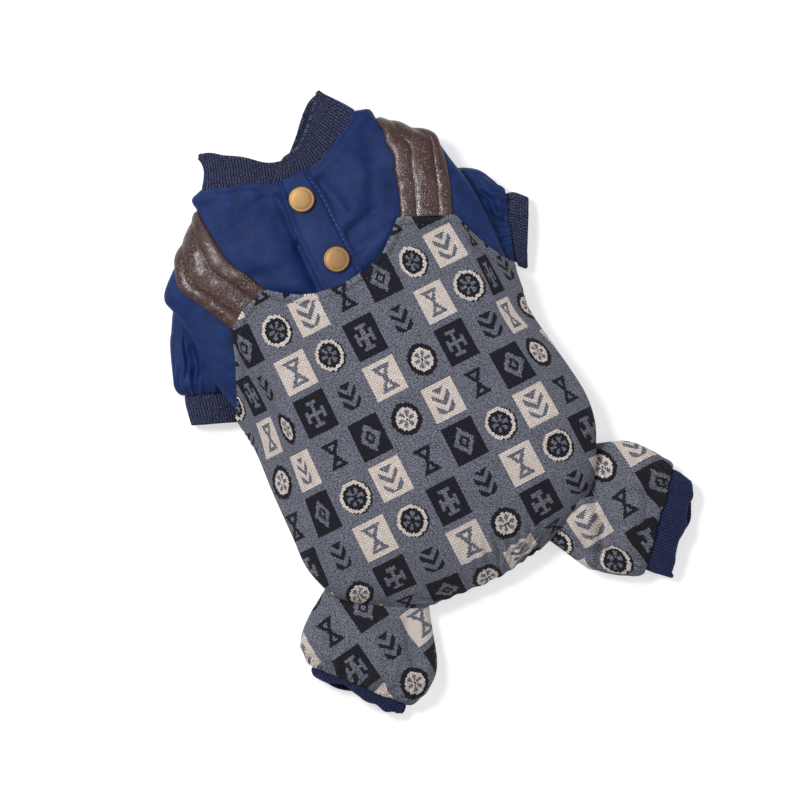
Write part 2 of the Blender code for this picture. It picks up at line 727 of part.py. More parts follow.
def make_snap_cap(folder, name, across, along):
    """A domed brass cap with a rolled rim, seated on the placket."""
    radius, height = SNAP_CAP_DIAMETER / 2, SNAP_CAP_HEIGHT
    profile = [
        (0.0, height),
        (radius * 0.55, height * 0.95),
        (radius * 0.88, height * 0.74),
        (radius, height * 0.42),
        (radius * 0.97, height * 0.10),
        (radius * 0.86, 0.0),
        (0.0, 0.0),
    ]
    mesh = bpy.data.meshes.new(name)
    mesh.from_pydata([(x, 0, z) for x, z in profile], [(k, k + 1) for k in range(len(profile) - 1)], [])
    cap = bpy.data.objects.new(name, mesh)
    folder.objects.link(cap)
    spin = cap.modifiers.new("turned", "SCREW")
    spin.steps = spin.render_steps = 18
    spin.use_merge_vertices = True
    spin.merge_threshold = 0.00005
    turn = turn_at(across, along)
    seat = REST_GAP + PLACKET_WALL + REST_GAP
    normal = surface_normal(torso_form, along, turn)
    cap.location = torso_point(along, turn, seat)
    cap.rotation_mode = "QUATERNION"
    cap.rotation_quaternion = normal.to_track_quat("Z", "Y")
    mesh.materials.append(material("brass"))
    return cap


def centre_on_footprint(parts, cutters):
    """Moves everything so that the origin is the middle of the footprint, on the surface it lies on."""
    bpy.context.view_layer.update()
    graph = bpy.context.evaluated_depsgraph_get()
    corners = []
    for obj in parts.objects:
        shown = obj.evaluated_get(graph)
        corners += [shown.matrix_world @ v.co for v in shown.to_mesh().vertices]
    low = Vector(min(c[axis] for c in corners) for axis in range(3))
    high = Vector(max(c[axis] for c in corners) for axis in range(3))
    shift = Vector((-(low.x + high.x) / 2, -(low.y + high.y) / 2, -low.z))
    for obj in [*parts.objects, *cutters.objects]:
        obj.location += shift


def main():
    for obj in list(bpy.data.objects):
        bpy.data.objects.remove(obj)
    parts = bpy.data.collections.new("pet_overalls")
    cutters = bpy.data.collections.new("cutters")
    for folder in (parts, cutters):
        bpy.context.scene.collection.children.link(folder)
    turns = even_turns(TORSO_COLUMNS)
    trims = make_torso_cutters(cutters, turns)
    hollows = make_limbs(parts, cutters, trims)
    make_overalls(parts, turns, hollows)
    make_shirt(parts, turns, hollows)
    make_collar(parts)
    make_strap(parts, "strap_left", STRAP_LEFT)
    make_strap(parts, "strap_right", STRAP_RIGHT)
    make_placket(parts)
    make_snap_cap(parts, "snap_cap_upper", 0.008, 0.884)
    make_snap_cap(parts, "snap_cap_lower", 0.031, 0.739)
    centre_on_footprint(parts, cutters)


main()
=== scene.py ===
"""Pet overalls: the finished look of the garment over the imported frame.

Each piece of cloth is a closed wall with rounded edges, laid over the same torso and limb forms as the
frame's solids. Metres, +Z up, +Y towards the neck, +X to the wearer's right.
"""

import math
from collections import namedtuple

import bmesh
import bpy
from mathutils import Matrix, Vector, noise


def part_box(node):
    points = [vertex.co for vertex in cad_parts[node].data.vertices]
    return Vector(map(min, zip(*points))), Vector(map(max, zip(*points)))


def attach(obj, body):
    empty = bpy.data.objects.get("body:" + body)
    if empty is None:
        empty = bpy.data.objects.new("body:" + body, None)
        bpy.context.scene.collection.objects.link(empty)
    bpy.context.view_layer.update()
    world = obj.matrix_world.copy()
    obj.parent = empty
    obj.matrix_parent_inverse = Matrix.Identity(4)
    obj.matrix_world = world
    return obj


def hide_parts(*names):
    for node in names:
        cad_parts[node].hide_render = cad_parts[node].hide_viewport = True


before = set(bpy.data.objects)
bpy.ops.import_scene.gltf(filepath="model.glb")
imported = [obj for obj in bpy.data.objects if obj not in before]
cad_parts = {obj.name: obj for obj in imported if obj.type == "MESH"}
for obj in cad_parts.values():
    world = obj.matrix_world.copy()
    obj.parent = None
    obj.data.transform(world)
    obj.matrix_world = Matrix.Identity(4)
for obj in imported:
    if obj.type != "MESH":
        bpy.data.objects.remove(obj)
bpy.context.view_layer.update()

bl_info = {
    "name": "Pet overalls",
    "version": (1, 0, 0),
    "blender": (4, 5, 0),
    "location": "3D View > Sidebar > Pet overalls",
    "description": "Knit overalls over a navy shirt with rib cuffs, leather-look straps and snap caps",
    "category": "Object",
}

# Driving sizes of the torso, which the shirt and the overalls both follow
TORSO_LENGTH = 0.238
TORSO_WIDTH = 0.160
TORSO_HEIGHT = 0.031

# Walls and clearances
OVERALLS_WALL = 0.0022
SHIRT_WALL = 0.0016
LAP_GAP = 0.0008
BIB_LAP = 0.012

# Limbs
SLEEVE_LENGTH = 0.052
SLEEVE_WIDTH = 0.050
SLEEVE_HEIGHT = 0.021
LEG_LENGTH = 0.062
LEG_WIDTH = 0.074
LEG_HEIGHT = 0.026
COLLAR_RISE = 0.018

# Exponents of the pillow section: a full top, and an underside that draws in towards the floor
TOP_FULLNESS = 2.4
UNDER_FULLNESS = 1.8
UNDER_DEPTH = 1.3


def rows_of(columns, *values):
    """A short table: every row's values under the columns' names."""
    row = namedtuple("Row", columns)
    return [row(*value) for value in values]


# Columns that more than one table has
SECTION = "along aside ahead heading half height floor"
STRAP_STEP = "step inner_along inner_turn outer_along outer_turn"
FOLD = "turn start end depth breadth"
CREASE = "x y x_end y_end height breadth"

# Torso sections from the tail hem to the neck. Shares: along of the length, left and right of the half
# width, top and level (the height of the widest point) of the height.
TORSO = rows_of(
    "along left right top level",
    (0.000, 0.390, 0.260, 0.30, 0.16),
    (0.013, 0.463, 0.340, 0.42, 0.22),
    (0.021, 0.520, 0.410, 0.48, 0.25),
    (0.034, 0.600, 0.525, 0.55, 0.28),
    (0.055, 0.690, 0.690, 0.66, 0.34),
    (0.088, 0.825, 0.810, 0.78, 0.42),
    (0.113, 0.900, 0.865, 0.84, 0.46),
    (0.139, 0.940, 0.905, 0.89, 0.50),
    (0.193, 0.979, 0.979, 0.96, 0.52),
    (0.256, 0.969, 1.004, 1.00, 0.52),
    (0.361, 0.954, 0.969, 1.00, 0.52),
    (0.466, 0.931, 0.931, 0.98, 0.52),
    (0.550, 0.955, 0.970, 0.97, 0.54),
    (0.634, 1.000, 0.990, 0.97, 0.58),
    (0.718, 0.998, 0.995, 0.98, 0.60),
    (0.760, 1.005, 0.985, 0.97, 0.60),
    (0.800, 1.030, 0.963, 0.97, 0.60),
    (0.823, 1.045, 0.950, 0.96, 0.58),
    (0.845, 1.010, 0.940, 0.95, 0.57),
    (0.878, 0.895, 0.920, 0.93, 0.55),
    (0.908, 0.780, 0.815, 0.91, 0.53),
    (0.937, 0.675, 0.738, 0.89, 0.51),
    (0.958, 0.612, 0.662, 0.87, 0.50),
    (0.983, 0.603, 0.641, 0.84, 0.50),
    (0.995, 0.588, 0.622, 0.83, 0.50),
    (1.000, 0.513, 0.556, 0.82, 0.50),
)
# The bib's edge on the back, from the left side over both ears to the right side. Across is a share of the
# half width.
BIB_EDGE = rows_of(
    "across along",
    (-1.020, 0.520),
    (-0.950, 0.534),
    (-0.913, 0.559),
    (-0.850, 0.609),
    (-0.794, 0.651),
    (-0.744, 0.702),
    (-0.625, 0.731),
    (-0.450, 0.746),
    (-0.375, 0.725),
    (-0.288, 0.706),
    (-0.188, 0.691),
    (0.000, 0.683),
    (0.188, 0.689),
    (0.319, 0.706),
    (0.425, 0.735),
    (0.490, 0.755),
    (0.575, 0.742),
    (0.700, 0.719),
    (0.806, 0.708),
    (0.844, 0.664),
    (0.875, 0.635),
    (0.913, 0.605),
    (0.975, 0.563),
    (1.020, 0.530),
)
BELLY_EDGE = 0.560
# How far along the neck seam lies at a turn, in degrees, round the section from the throat by the right and
# the back
NECK = rows_of(
    "turn along",
    (-90, 0.891),
    (-68, 0.940),
    (-49, 0.971),
    (-34, 0.990),
    (-15, 0.999),
    (0, 1.000),
    (15, 0.999),
    (33, 0.993),
    (42, 0.981),
    (60, 0.960),
    (74, 0.945),
    (82, 0.936),
    (90, 0.935),
    (97, 0.940),
    (110, 0.964),
    (124, 0.977),
    (139, 0.991),
    (160, 0.998),
    (180, 1.000),
    (195, 0.999),
    (214, 0.990),
    (229, 0.971),
    (248, 0.940),
    (270, 0.891),
)
# The tail hem, as shares of the length
HEM_BELLY = 0.075
HEM_SIDE = 0.015
HEM_GATHERS = 22
HEM_GATHER_DEPTH = 0.0009
# Straight dents in the torso's back. Shares of the half width and the length; depth and breadth share the
# height.
DENTS = rows_of(
    "across along across_end along_end depth breadth",
    (-0.150, 0.93, -0.160, 0.70, 0.060, 0.12),
    (0.160, 0.86, 0.185, 0.75, 0.040, 0.13),
    (0.560, 0.90, 0.600, 0.80, 0.040, 0.14),
    (-0.300, 0.83, -0.520, 0.89, -0.030, 0.25),
    (-0.200, 0.74, -0.420, 0.80, -0.030, 0.25),
    (0.330, 0.78, 0.420, 0.90, -0.030, 0.25),
)
# Collar, round the neck from its right end over the placket, by the right side and the throat, to its left
# end. The turn is in degrees. Aside, rise and upward are the free edge's reach from the seam, and swell is
# how far the middle of the band stands out, all as shares of the collar's rise.
COLLAR = rows_of(
    "turn aside rise upward swell",
    (-270, 0.16, 0.50, 0.00, 0.00),
    (-255, 0.22, 0.64, -0.02, 0.00),
    (-240, 0.27, 0.83, -0.06, 0.00),
    (-220, 0.42, 1.00, -0.12, 0.00),
    (-200, 0.44, 0.98, -0.10, -0.08),
    (-180, 0.38, 0.80, 0.00, -0.14),
    (-160, 0.38, 0.86, 0.08, -0.08),
    (-140, 0.30, 0.90, 0.10, 0.00),
    (-120, 0.22, 0.90, 0.10, 0.00),
    (-90, 0.00, 0.92, 0.08, 0.00),
    (-60, -0.44, 1.00, 0.10, 0.00),
    (-40, -0.74, 1.09, 0.10, 0.00),
    (-20, -0.80, 1.06, 0.08, 0.00),
    (0, -0.66, 0.86, 0.00, 0.04),
    (20, -0.76, 1.06, -0.10, 0.02),
    (40, -0.64, 1.05, -0.14, 0.00),
    (60, -0.40, 0.88, -0.08, 0.00),
    (75, -0.18, 0.72, -0.02, 0.00),
    (90, 0.22, 0.60, 0.00, 0.00),
    (98, 0.52, 0.46, 0.00, 0.00),
)
COLLAR_RIGHT_END, COLLAR_LEFT_END = math.radians(98), math.radians(-270)
# Straps, edge to edge, from the bib's ear over the shoulder and under it: along the length, and round the
# section
STRAP_LEFT = rows_of(
    STRAP_STEP,
    (0.00, 0.746, 112.3, 0.702, 133.9),
    (0.15, 0.777, 114.6, 0.735, 138.5),
    (0.30, 0.811, 117.0, 0.772, 143.0),
    (0.45, 0.849, 121.8, 0.812, 147.0),
    (0.58, 0.887, 130.2, 0.842, 153.0),
    (0.70, 0.921, 142.7, 0.866, 161.5),
    (0.80, 0.950, 161.0, 0.884, 175.0),
    (0.88, 0.961, 180.0, 0.890, 192.0),
    (1.00, 0.948, 212.0, 0.880, 222.0),
)
STRAP_RIGHT = rows_of(
    STRAP_STEP,
    (0.00, 0.756, 63.2, 0.710, 39.9),
    (0.15, 0.788, 59.6, 0.742, 35.0),
    (0.30, 0.820, 56.0, 0.777, 28.2),
    (0.45, 0.854, 53.0, 0.812, 20.0),
    (0.58, 0.888, 47.3, 0.843, 12.8),
    (0.70, 0.922, 36.5, 0.868, 7.0),
    (0.80, 0.949, 22.0, 0.885, -2.0),
    (0.88, 0.963, 4.0, 0.891, -13.0),
    (1.00, 0.950, -30.0, 0.882, -41.0),
)
# Limbs from their root inside the torso to the cuff seam at 1, and on to the cuff's end at 2. Aside and
# ahead are the way from the root as shares of the limb's length, the heading is in degrees from +X, half is
# a share of the limb's width, and height and floor are shares of its height.
SLEEVE_LEFT_ROOT = (-0.663, 0.777)
SLEEVE_LEFT = rows_of(
    SECTION,
    (0.00, 0.000, 0.000, 195, 0.34, 0.60, 0.26),
    (0.30, -0.250, -0.077, 215, 0.36, 0.74, 0.20),
    (0.55, -0.404, -0.269, 238, 0.33, 0.88, 0.10),
    (0.80, -0.519, -0.510, 246, 0.33, 0.92, 0.03),
    (0.93, -0.573, -0.654, 249, 0.32, 0.84, 0.02),
    (1.00, -0.606, -0.735, 249, 0.26, 0.68, 0.02),
    (1.50, -0.642, -0.885, 248, 0.25, 0.64, 0.02),
    (2.00, -0.679, -1.038, 248, 0.242, 0.60, 0.02),
)
SLEEVE_RIGHT_ROOT = (0.625, 0.744)
SLEEVE_RIGHT = rows_of(
    SECTION,
    (0.00, 0.000, 0.000, -30, 0.34, 0.60, 0.26),
    (0.30, 0.192, -0.115, -37, 0.48, 0.74, 0.20),
    (0.55, 0.346, -0.260, -41, 0.54, 0.88, 0.10),
    (0.80, 0.519, -0.404, -34, 0.47, 0.92, 0.03),
    (0.93, 0.620, -0.470, -25, 0.42, 0.84, 0.02),
    (1.00, 0.692, -0.496, -19, 0.37, 0.70, 0.02),
    (1.50, 0.765, -0.552, -24, 0.37, 0.66, 0.02),
    (2.00, 0.828, -0.622, -29, 0.36, 0.60, 0.02),
)
LEG_LEFT_ROOT = (-0.560, 0.125)
LEG_LEFT = rows_of(
    SECTION,
    (0.00, 0.000, 0.000, 228, 0.30, 0.46, 0.10),
    (0.25, -0.155, -0.215, 226, 0.35, 0.58, 0.06),
    (0.55, -0.376, -0.520, 223, 0.465, 0.92, 0.00),
    (0.80, -0.535, -0.680, 223, 0.460, 0.94, 0.00),
    (0.93, -0.585, -0.742, 222, 0.410, 0.80, 0.00),
    (1.00, -0.612, -0.775, 221, 0.360, 0.62, 0.00),
    (1.50, -0.645, -0.805, 220, 0.350, 0.60, 0.00),
    (2.00, -0.682, -0.835, 219, 0.345, 0.54, 0.00),
)
LEG_RIGHT_ROOT = (0.540, 0.125)
LEG_RIGHT = rows_of(
    SECTION,
    (0.00, 0.000, 0.000, -48, 0.30, 0.46, 0.10),
    (0.25, 0.172, -0.188, -46, 0.36, 0.58, 0.06),
    (0.55, 0.382, -0.382, -45, 0.445, 0.92, 0.00),
    (0.80, 0.545, -0.545, -44, 0.440, 0.94, 0.00),
    (0.93, 0.634, -0.628, -43, 0.412, 0.80, 0.00),
    (1.00, 0.690, -0.672, -42, 0.378, 0.66, 0.00),
    (1.50, 0.765, -0.760, -42, 0.350, 0.62, 0.00),
    (2.00, 0.828, -0.845, -42, 0.332, 0.56, 0.00),
)
# Gathers where a limb meets its cuff, and lengthwise folds of the limbs: at a turn, in degrees, over a
# stretch
GATHER_DEPTH = 0.0009
LIMB_FOLDS = {
    "sleeve_left": rows_of(FOLD, (70, 0.35, 0.95, 0.10, 16), (120, 0.45, 0.98, 0.06, 14)),
    "sleeve_right": rows_of(FOLD, (110, 0.30, 0.85, 0.12, 15), (65, 0.50, 0.95, 0.07, 13)),
    "leg_left": rows_of(FOLD, (128, 0.20, 0.70, 0.08, 14), (60, 0.20, 0.60, 0.07, 12)),
    "leg_right": rows_of(FOLD, (42, 0.15, 1.00, 0.16, 11), (140, 0.20, 0.60, 0.07, 14)),
}


def smooth(rows, column, at):
    """The column's value at a place in the table's first column, on a cubic curve through the rows."""
    last = len(rows) - 1
    at = min(max(at, rows[0][0]), rows[last][0])
    i = max(k for k in range(last) if rows[k][0] <= at)

    def slope(k):
        low, high = rows[max(k - 1, 0)], rows[min(k + 1, last)]
        return (getattr(high, column) - getattr(low, column)) / (high[0] - low[0])

    step = rows[i + 1][0] - rows[i][0]
    t = (at - rows[i][0]) / step
    start, end = getattr(rows[i], column), getattr(rows[i + 1], column)
    return (
        start * (1 + 2 * t) * (1 - t) ** 2
        + end * t * t * (3 - 2 * t)
        + step * (slope(i) * t * (1 - t) ** 2 - slope(i + 1) * t * t * (1 - t))
    )


def straight(rows, column, at):
    """The column's value on straight lines through the rows, where the shape has corners."""
    at = min(max(at, rows[0][0]), rows[-1][0])
    i = max(k for k in range(len(rows) - 1) if rows[k][0] <= at)
    t = (at - rows[i][0]) / (rows[i + 1][0] - rows[i][0])
    return getattr(rows[i], column) * (1 - t) + getattr(rows[i + 1], column) * t


def bump(distance, breadth):
    """A smooth hill: 1 at no distance, and falling away over the breadth."""
    return math.exp(-((distance / breadth) ** 2))


def pillow(turn, left, right, top, level):
    """(across, up) on a section that is full on top and flat below. Turn 0 is right and 90 the top."""
    c, s = math.cos(turn), math.sin(turn)
    fullness = TOP_FULLNESS if s >= 0 else UNDER_FULLNESS
    across = math.copysign(abs(c) ** (2 / fullness), c) * (right if c >= 0 else left)
    lift = abs(s) ** (2 / fullness)
    up = level + (top - level) * lift if s >= 0 else max(0.0, level - UNDER_DEPTH * level * lift)
    return across, up


def surface_normal(point, along, turn):
    """Outward normal of a surface given as a function of a share along it and a turn round it."""
    step_along, step_turn = 0.004, math.radians(1.5)
    down_it = point(along + step_along, turn) - point(along - step_along, turn)
    round_it = point(along, turn + step_turn) - point(along, turn - step_turn)
    return down_it.cross(round_it).normalized()


def away_from(place, start, end):
    """How far a place lies from the straight line between two others."""
    run = end - start
    t = min(max((place - start).dot(run) / run.length_squared, 0.0), 1.0)
    return (place - start - run * t).length


def dent_depth(across, along):
    """How far the torso's back sinks at a place, from the table of dents."""
    sunk = 0.0
    place = Vector((across * TORSO_WIDTH / 2, along * TORSO_LENGTH))
    for dent in DENTS:
        start = Vector((dent.across * TORSO_WIDTH / 2, dent.along * TORSO_LENGTH))
        end = Vector((dent.across_end * TORSO_WIDTH / 2, dent.along_end * TORSO_LENGTH))
        away = away_from(place, start, end)
        sunk += dent.depth * TORSO_HEIGHT * bump(away, dent.breadth * TORSO_HEIGHT * 2)
    return sunk


def torso_floor():
    """Height of the torso's underside: the overalls' wall and the lap's gap lie below it."""
    return OVERALLS_WALL + LAP_GAP


def torso_form(along, turn):
    """A point of the torso under the overalls' padding."""
    half = TORSO_WIDTH / 2
    left, right, top, level = (smooth(TORSO, column, along) for column in ("left", "right", "top", "level"))
    across, up = pillow(turn, left * half, right * half, top * TORSO_HEIGHT, level * TORSO_HEIGHT)
    if math.sin(turn) > 0:
        up -= dent_depth(across / half, along) * math.sin(turn)
    return Vector((across, along * TORSO_LENGTH, torso_floor() + up))


def torso_point(along, turn, out=0.0):
    """A point of the torso, or of the form that lies out metres outside it. Its underside stays flat."""
    point = torso_form(along, turn) + surface_normal(torso_form, along, turn) * out
    point.z = max(point.z, torso_floor() - out)
    return point


def bib_edge(turn):
    """How far along the overalls reach at a turn."""
    if math.sin(turn) < 0:
        side = BIB_EDGE[-1] if math.cos(turn) > 0 else BIB_EDGE[0]
        under = min(1.0, -math.sin(turn) / 0.5)
        return side.along + (BELLY_EDGE - side.along) * under * under * (3 - 2 * under)
    along = BELLY_EDGE
    for _ in range(12):
        across = torso_form(along, turn).x / (TORSO_WIDTH / 2)
        along = (along + straight(BIB_EDGE, "along", across)) / 2
    return along


def hem_edge(turn):
    """How far along the tail hem lies at a turn."""
    if math.sin(turn) >= 0:
        return HEM_SIDE * abs(math.cos(turn)) ** 1.5
    under = -math.sin(turn)
    return HEM_SIDE + (HEM_BELLY - HEM_SIDE) * under * under * (3 - 2 * under)


def neck_edge(turn):
    """How far along the neck seam lies at a turn."""
    degrees = (math.degrees(turn) + 90) % 360 - 90
    return smooth(NECK, "along", degrees)


def limb_centre(limb, along):
    """Middle of a limb, on its floor."""
    x = limb.root[0] * TORSO_WIDTH / 2 + smooth(limb.rows, "aside", along) * limb.length
    y = limb.root[1] * TORSO_LENGTH + smooth(limb.rows, "ahead", along) * limb.length
    return Vector((x, y, 0.0))


def limb_floor(limb, along):
    """Height of a limb's underside."""
    return max(0.0, smooth(limb.rows, "floor", along)) * limb.height


def limb_form(limb, along, turn):
    """A point of the limb's outer surface. Past share 1 it is the cuff."""
    centre = limb_centre(limb, along)
    heading = math.radians(smooth(limb.rows, "heading", along))
    side = Vector((math.sin(heading), -math.cos(heading), 0))
    half = smooth(limb.rows, "half", along) * limb.width
    height = smooth(limb.rows, "height", along) * limb.height
    across, up = pillow(turn, half, half, height, height * 0.48)
    sink = 0.0
    if along <= 1:
        for fold in LIMB_FOLDS[limb.name]:
            middle, reach = (fold.start + fold.end) / 2, (fold.end - fold.start) / 2
            away = math.degrees(turn) - fold.turn
            sink += fold.depth * limb.height * bump(away, fold.breadth) * bump(along - middle, reach)
        sink -= GATHER_DEPTH * math.cos(limb.gathers * turn) * bump(along - 0.93, 0.06)
    up = max(0.0, up - sink * max(0.0, math.sin(turn)))
    return centre + side * across + Vector((0, 0, limb_floor(limb, along) + up))


def collar_seam(turn):
    """Where the collar's outer face starts: just ahead of the shirt's neck edge, in line with it."""
    step = math.radians(1)
    seam = torso_point(neck_edge(turn), turn)
    run = torso_point(neck_edge(turn + step), turn + step) - torso_point(neck_edge(turn - step), turn - step)
    ahead = surface_normal(torso_form, neck_edge(turn), turn).cross(run).normalized()
    if ahead.y < 0:
        ahead = -ahead
    return seam + ahead * COLLAR_SEAM_TUCK


def turn_at(across, along):
    """The turn on the back at which the torso is this far across, as a share of its half width."""
    reach = smooth(TORSO, "left" if across < 0 else "right", along)
    turn = math.acos((abs(across) / reach) ** (TOP_FULLNESS / 2))
    return math.pi - turn if across < 0 else turn


# How far the parts stand clear of each other here, where they are sewn together
STRAP_REST = 0.0003
STRAP_TUCK = 0.0016
PLACKET_REST = 0.0002
COLLAR_SEAM_TUCK = -0.0006
CUFF_STEP = 0.0013
CUFF_TUCK = 0.0018

Limb = namedtuple("Limb", "name root rows length width height gathers")
SLEEVE_SIZES = (SLEEVE_LENGTH, SLEEVE_WIDTH, SLEEVE_HEIGHT, 6)
LEG_SIZES = (LEG_LENGTH, LEG_WIDTH, LEG_HEIGHT, 8)
LIMBS = {
    "sleeve_left": Limb("sleeve_left", SLEEVE_LEFT_ROOT, SLEEVE_LEFT, *SLEEVE_SIZES),
    "sleeve_right": Limb("sleeve_right", SLEEVE_RIGHT_ROOT, SLEEVE_RIGHT, *SLEEVE_SIZES),
    "leg_left": Limb("leg_left", LEG_LEFT_ROOT, LEG_LEFT, *LEG_SIZES),
    "leg_right": Limb("leg_right", LEG_RIGHT_ROOT, LEG_RIGHT, *LEG_SIZES),
}

# The frame's origin is the middle of the footprint. The torso's own origin is on its centre line at the
# tail.
CAP_ACROSS, CAP_ALONG = 0.008, 0.884


def frame_shift():
    """The way from the torso's origin to the frame's, read from where the upper snap cap lies."""
    low, high = (Vector(corner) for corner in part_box("snap_cap_upper"))
    seat = torso_point(CAP_ALONG, turn_at(CAP_ACROSS, CAP_ALONG), 0.0019)
    shift = (low + high) / 2 - seat
    return Vector((shift.x, shift.y, 0.0))


SHIFT = frame_shift()

# Soft creases of the shirt's back, in metres from the torso's origin: a ridge is a crease that stands out
SHIRT_CREASES = rows_of(
    CREASE,
    (-0.0102, 0.2180, -0.0114, 0.1920, -0.0012, 0.0018),
    (-0.0116, 0.1900, -0.0126, 0.1650, -0.0032, 0.0026),
    (-0.0190, 0.206, -0.0210, 0.166, 0.0012, 0.0060),
    (-0.0160, 0.219, -0.0420, 0.216, -0.0011, 0.0026),
    (-0.0160, 0.200, -0.0400, 0.206, -0.0009, 0.0034),
    (-0.0180, 0.182, -0.0440, 0.188, -0.0012, 0.0042),
    (-0.0340, 0.196, -0.0260, 0.174, 0.0012, 0.0070),
    (0.0110, 0.184, 0.0300, 0.189, -0.0016, 0.0028),
    (0.0130, 0.190, 0.0330, 0.204, 0.0009, 0.0040),
    (0.0130, 0.214, 0.0170, 0.196, -0.0014, 0.0034),
    (0.0260, 0.226, 0.0380, 0.202, 0.0012, 0.0060),
    (0.0450, 0.222, 0.0300, 0.190, -0.0013, 0.0040),
    (0.0130, 0.170, 0.0380, 0.180, 0.0010, 0.0050),
    (0.0140, 0.176, 0.0340, 0.178, -0.0009, 0.0026),
)

# Creases of the sleeves and legs, in the same way
LIMB_CREASES = {
    "leg_right": rows_of(
        CREASE,
        (0.0630, 0.0200, 0.0602, 0.0025, -0.0036, 0.0022),
        (0.0600, -0.0005, 0.0500, -0.0200, -0.0042, 0.0022),
        (0.0575, 0.0110, 0.0555, 0.0000, 0.0032, 0.0040),
        (0.0548, -0.0030, 0.0460, -0.0190, 0.0026, 0.0042),
        (0.0700, 0.0170, 0.0650, -0.0040, -0.0042, 0.0075),
        (0.0630, -0.0090, 0.0570, -0.0200, -0.0026, 0.0060),
        (0.0800, 0.0200, 0.0760, 0.0060, -0.0026, 0.0070),
        (0.0900, 0.0060, 0.0820, -0.0120, -0.0014, 0.0030),
    ),
    "leg_left": rows_of(
        CREASE,
        (-0.0880, 0.0150, -0.0760, -0.0120, -0.0012, 0.0034),
        (-0.0480, -0.0020, -0.0560, -0.0300, -0.0016, 0.0034),
        (-0.0640, 0.0040, -0.0700, -0.0180, 0.0010, 0.0060),
    ),
    "sleeve_left": rows_of(
        CREASE,
        (-0.0820, 0.1860, -0.0860, 0.1560, -0.0022, 0.0026),
        (-0.0900, 0.1780, -0.0930, 0.1540, 0.0012, 0.0030),
        (-0.0820, 0.1680, -0.0900, 0.1520, -0.0012, 0.0022),
    ),
    "sleeve_right": rows_of(
        CREASE,
        (0.0800, 0.1860, 0.0870, 0.1560, -0.0026, 0.0026),
        (0.0860, 0.1760, 0.0930, 0.1600, 0.0012, 0.0030),
        (0.0840, 0.1640, 0.0820, 0.1480, -0.0014, 0.0022),
    ),
}

# How the pattern lies on each leg: a cell's middle on the pattern, where it shows on the leg, and the
# grain's turn
LEG_GRAIN = rows_of(
    "limb cell_x cell_y x y turn",
    ("leg_left", 0.0184, 0.0340, -0.0612, -0.0081, 8),
    ("leg_right", -0.0022, -0.0350, 0.0760, 0.0023, 5),
)

# How far a limb's cloth hangs over the seam of its cuff
OVERHANG = {"leg": 0.0014, "sleeve": 0.0006}

# Where the tail hem is drawn in by its elastic
HEM_ELASTIC_X = 0.016

# Thickness of each cloth and of the straps' leather, where it isn't a driving size
LEG_CLOTH = 0.0022
SLEEVE_CLOTH = 0.0014
CUFF_CLOTH = 0.0020
COLLAR_CLOTH = 0.0024
STRAP_LEATHER = 0.0010
PLACKET_CLOTH = 0.0010

# Rows of a wall's rounded edge
EDGE_STEPS = 4

# Where a limb's cloth starts, as a share of its length, and the form that hollows the torso out for its root:
# the shares between which it runs, and its rows and columns
LIMB_START = 0.06
HOLLOW = (0.02, 0.90, 16, 60)

# How far along the torso the pattern's own origin lies
PATTERN_ORIGIN = 0.101

# How finely each rib is modelled
COLUMNS_PER_RIB = 6

# How pale the flecks are on the ribs of the collar and the sleeves, and on those of the legs
RIB_FLECK_SHARE = 0.46
PLAIN_RIB_FLECK_SHARE = 0.2

# The caps' height, and how far they are sunk into the placket
CAP_HEIGHT = 0.0021
CAP_SINK = 0.0009

# Stitching
STITCH_WIDTH = 0.00055
EDGE_STITCH_INSET = 0.0030
EDGE_STITCH_LENGTH = 0.0019
STRAP_SEAMS = (0.27, 0.71)
PLACKET_SEAM = 0.93
# Pitch, length and thickness of the smaller stitches
STRAP_STITCH = (0.0024, 0.0017, 0.0005)
PLACKET_STITCH = (0.0027, 0.0017, 0.0004)


def srgb(*levels):
    """A colour given in screen levels from 0 to 255, as the linear values that materials take."""
    shares = [level / 255 for level in levels]
    return tuple(share / 12.92 if share < 0.04 else ((share + 0.055) / 1.055) ** 2.4 for share in shares)


def length_of(name, about, default):
    """A length in metres for the panel."""
    return bpy.props.FloatProperty(name=name, description=about, default=default, unit="LENGTH")


def colour_of(name, about, *levels):
    """A colour for the panel, given in screen levels."""
    settings = {"name": name, "description": about, "subtype": "COLOR", "size": 3}
    return bpy.props.FloatVectorProperty(default=srgb(*levels), **settings)


class OverallsSizes(bpy.types.PropertyGroup):
    """Sizes of the cloths' patterns and threads"""

    column_pitch: length_of("Column pitch", "Width of a cell of the knitted pattern", 0.0206)
    row_pitch: length_of("Row pitch", "Height of a cell of the knitted pattern", 0.0230)
    loop_pitch: length_of("Loop pitch", "Width of one knitted loop", 0.00085)
    rib_pitch: length_of("Rib pitch", "From rib to rib of the collar and cuffs", 0.0015)
    rib_depth: length_of("Rib depth", "How deep the valleys between ribs are", 0.00042)
    stitch_pitch: length_of("Stitch pitch", "From stitch to stitch of the bib's sewn line", 0.0029)
    cap_diameter: length_of("Cap diameter", "Diameter of a snap cap", 0.0134)


class OverallsColours(bpy.types.PropertyGroup):
    """Colours of the cloths, leather and metal"""

    heather: colour_of("Heather", "Ground of the knit", 87, 89, 99)
    charcoal: colour_of("Charcoal", "Dark cells of the knit", 22, 22, 28)
    cream: colour_of("Cream", "Light cells of the knit", 238, 224, 216)
    navy: colour_of("Navy", "Shirt cloth", 15, 39, 88)
    rib: colour_of("Rib", "Collar and cuffs", 15, 31, 72)
    rib_fleck: colour_of("Rib fleck", "Flecks in the ribs", 170, 160, 146)
    leather: colour_of("Leather", "Straps", 64, 34, 27)
    brass: colour_of("Brass", "Snap caps", 143, 113, 76)


def arithmetic(operation, turned=False):
    """A method that joins a value with another by a math node, in this order or turned round."""

    def act(value, other):
        pair = (other, value) if turned else (value, other)
        return value.nodes.math(operation, *pair)

    return act


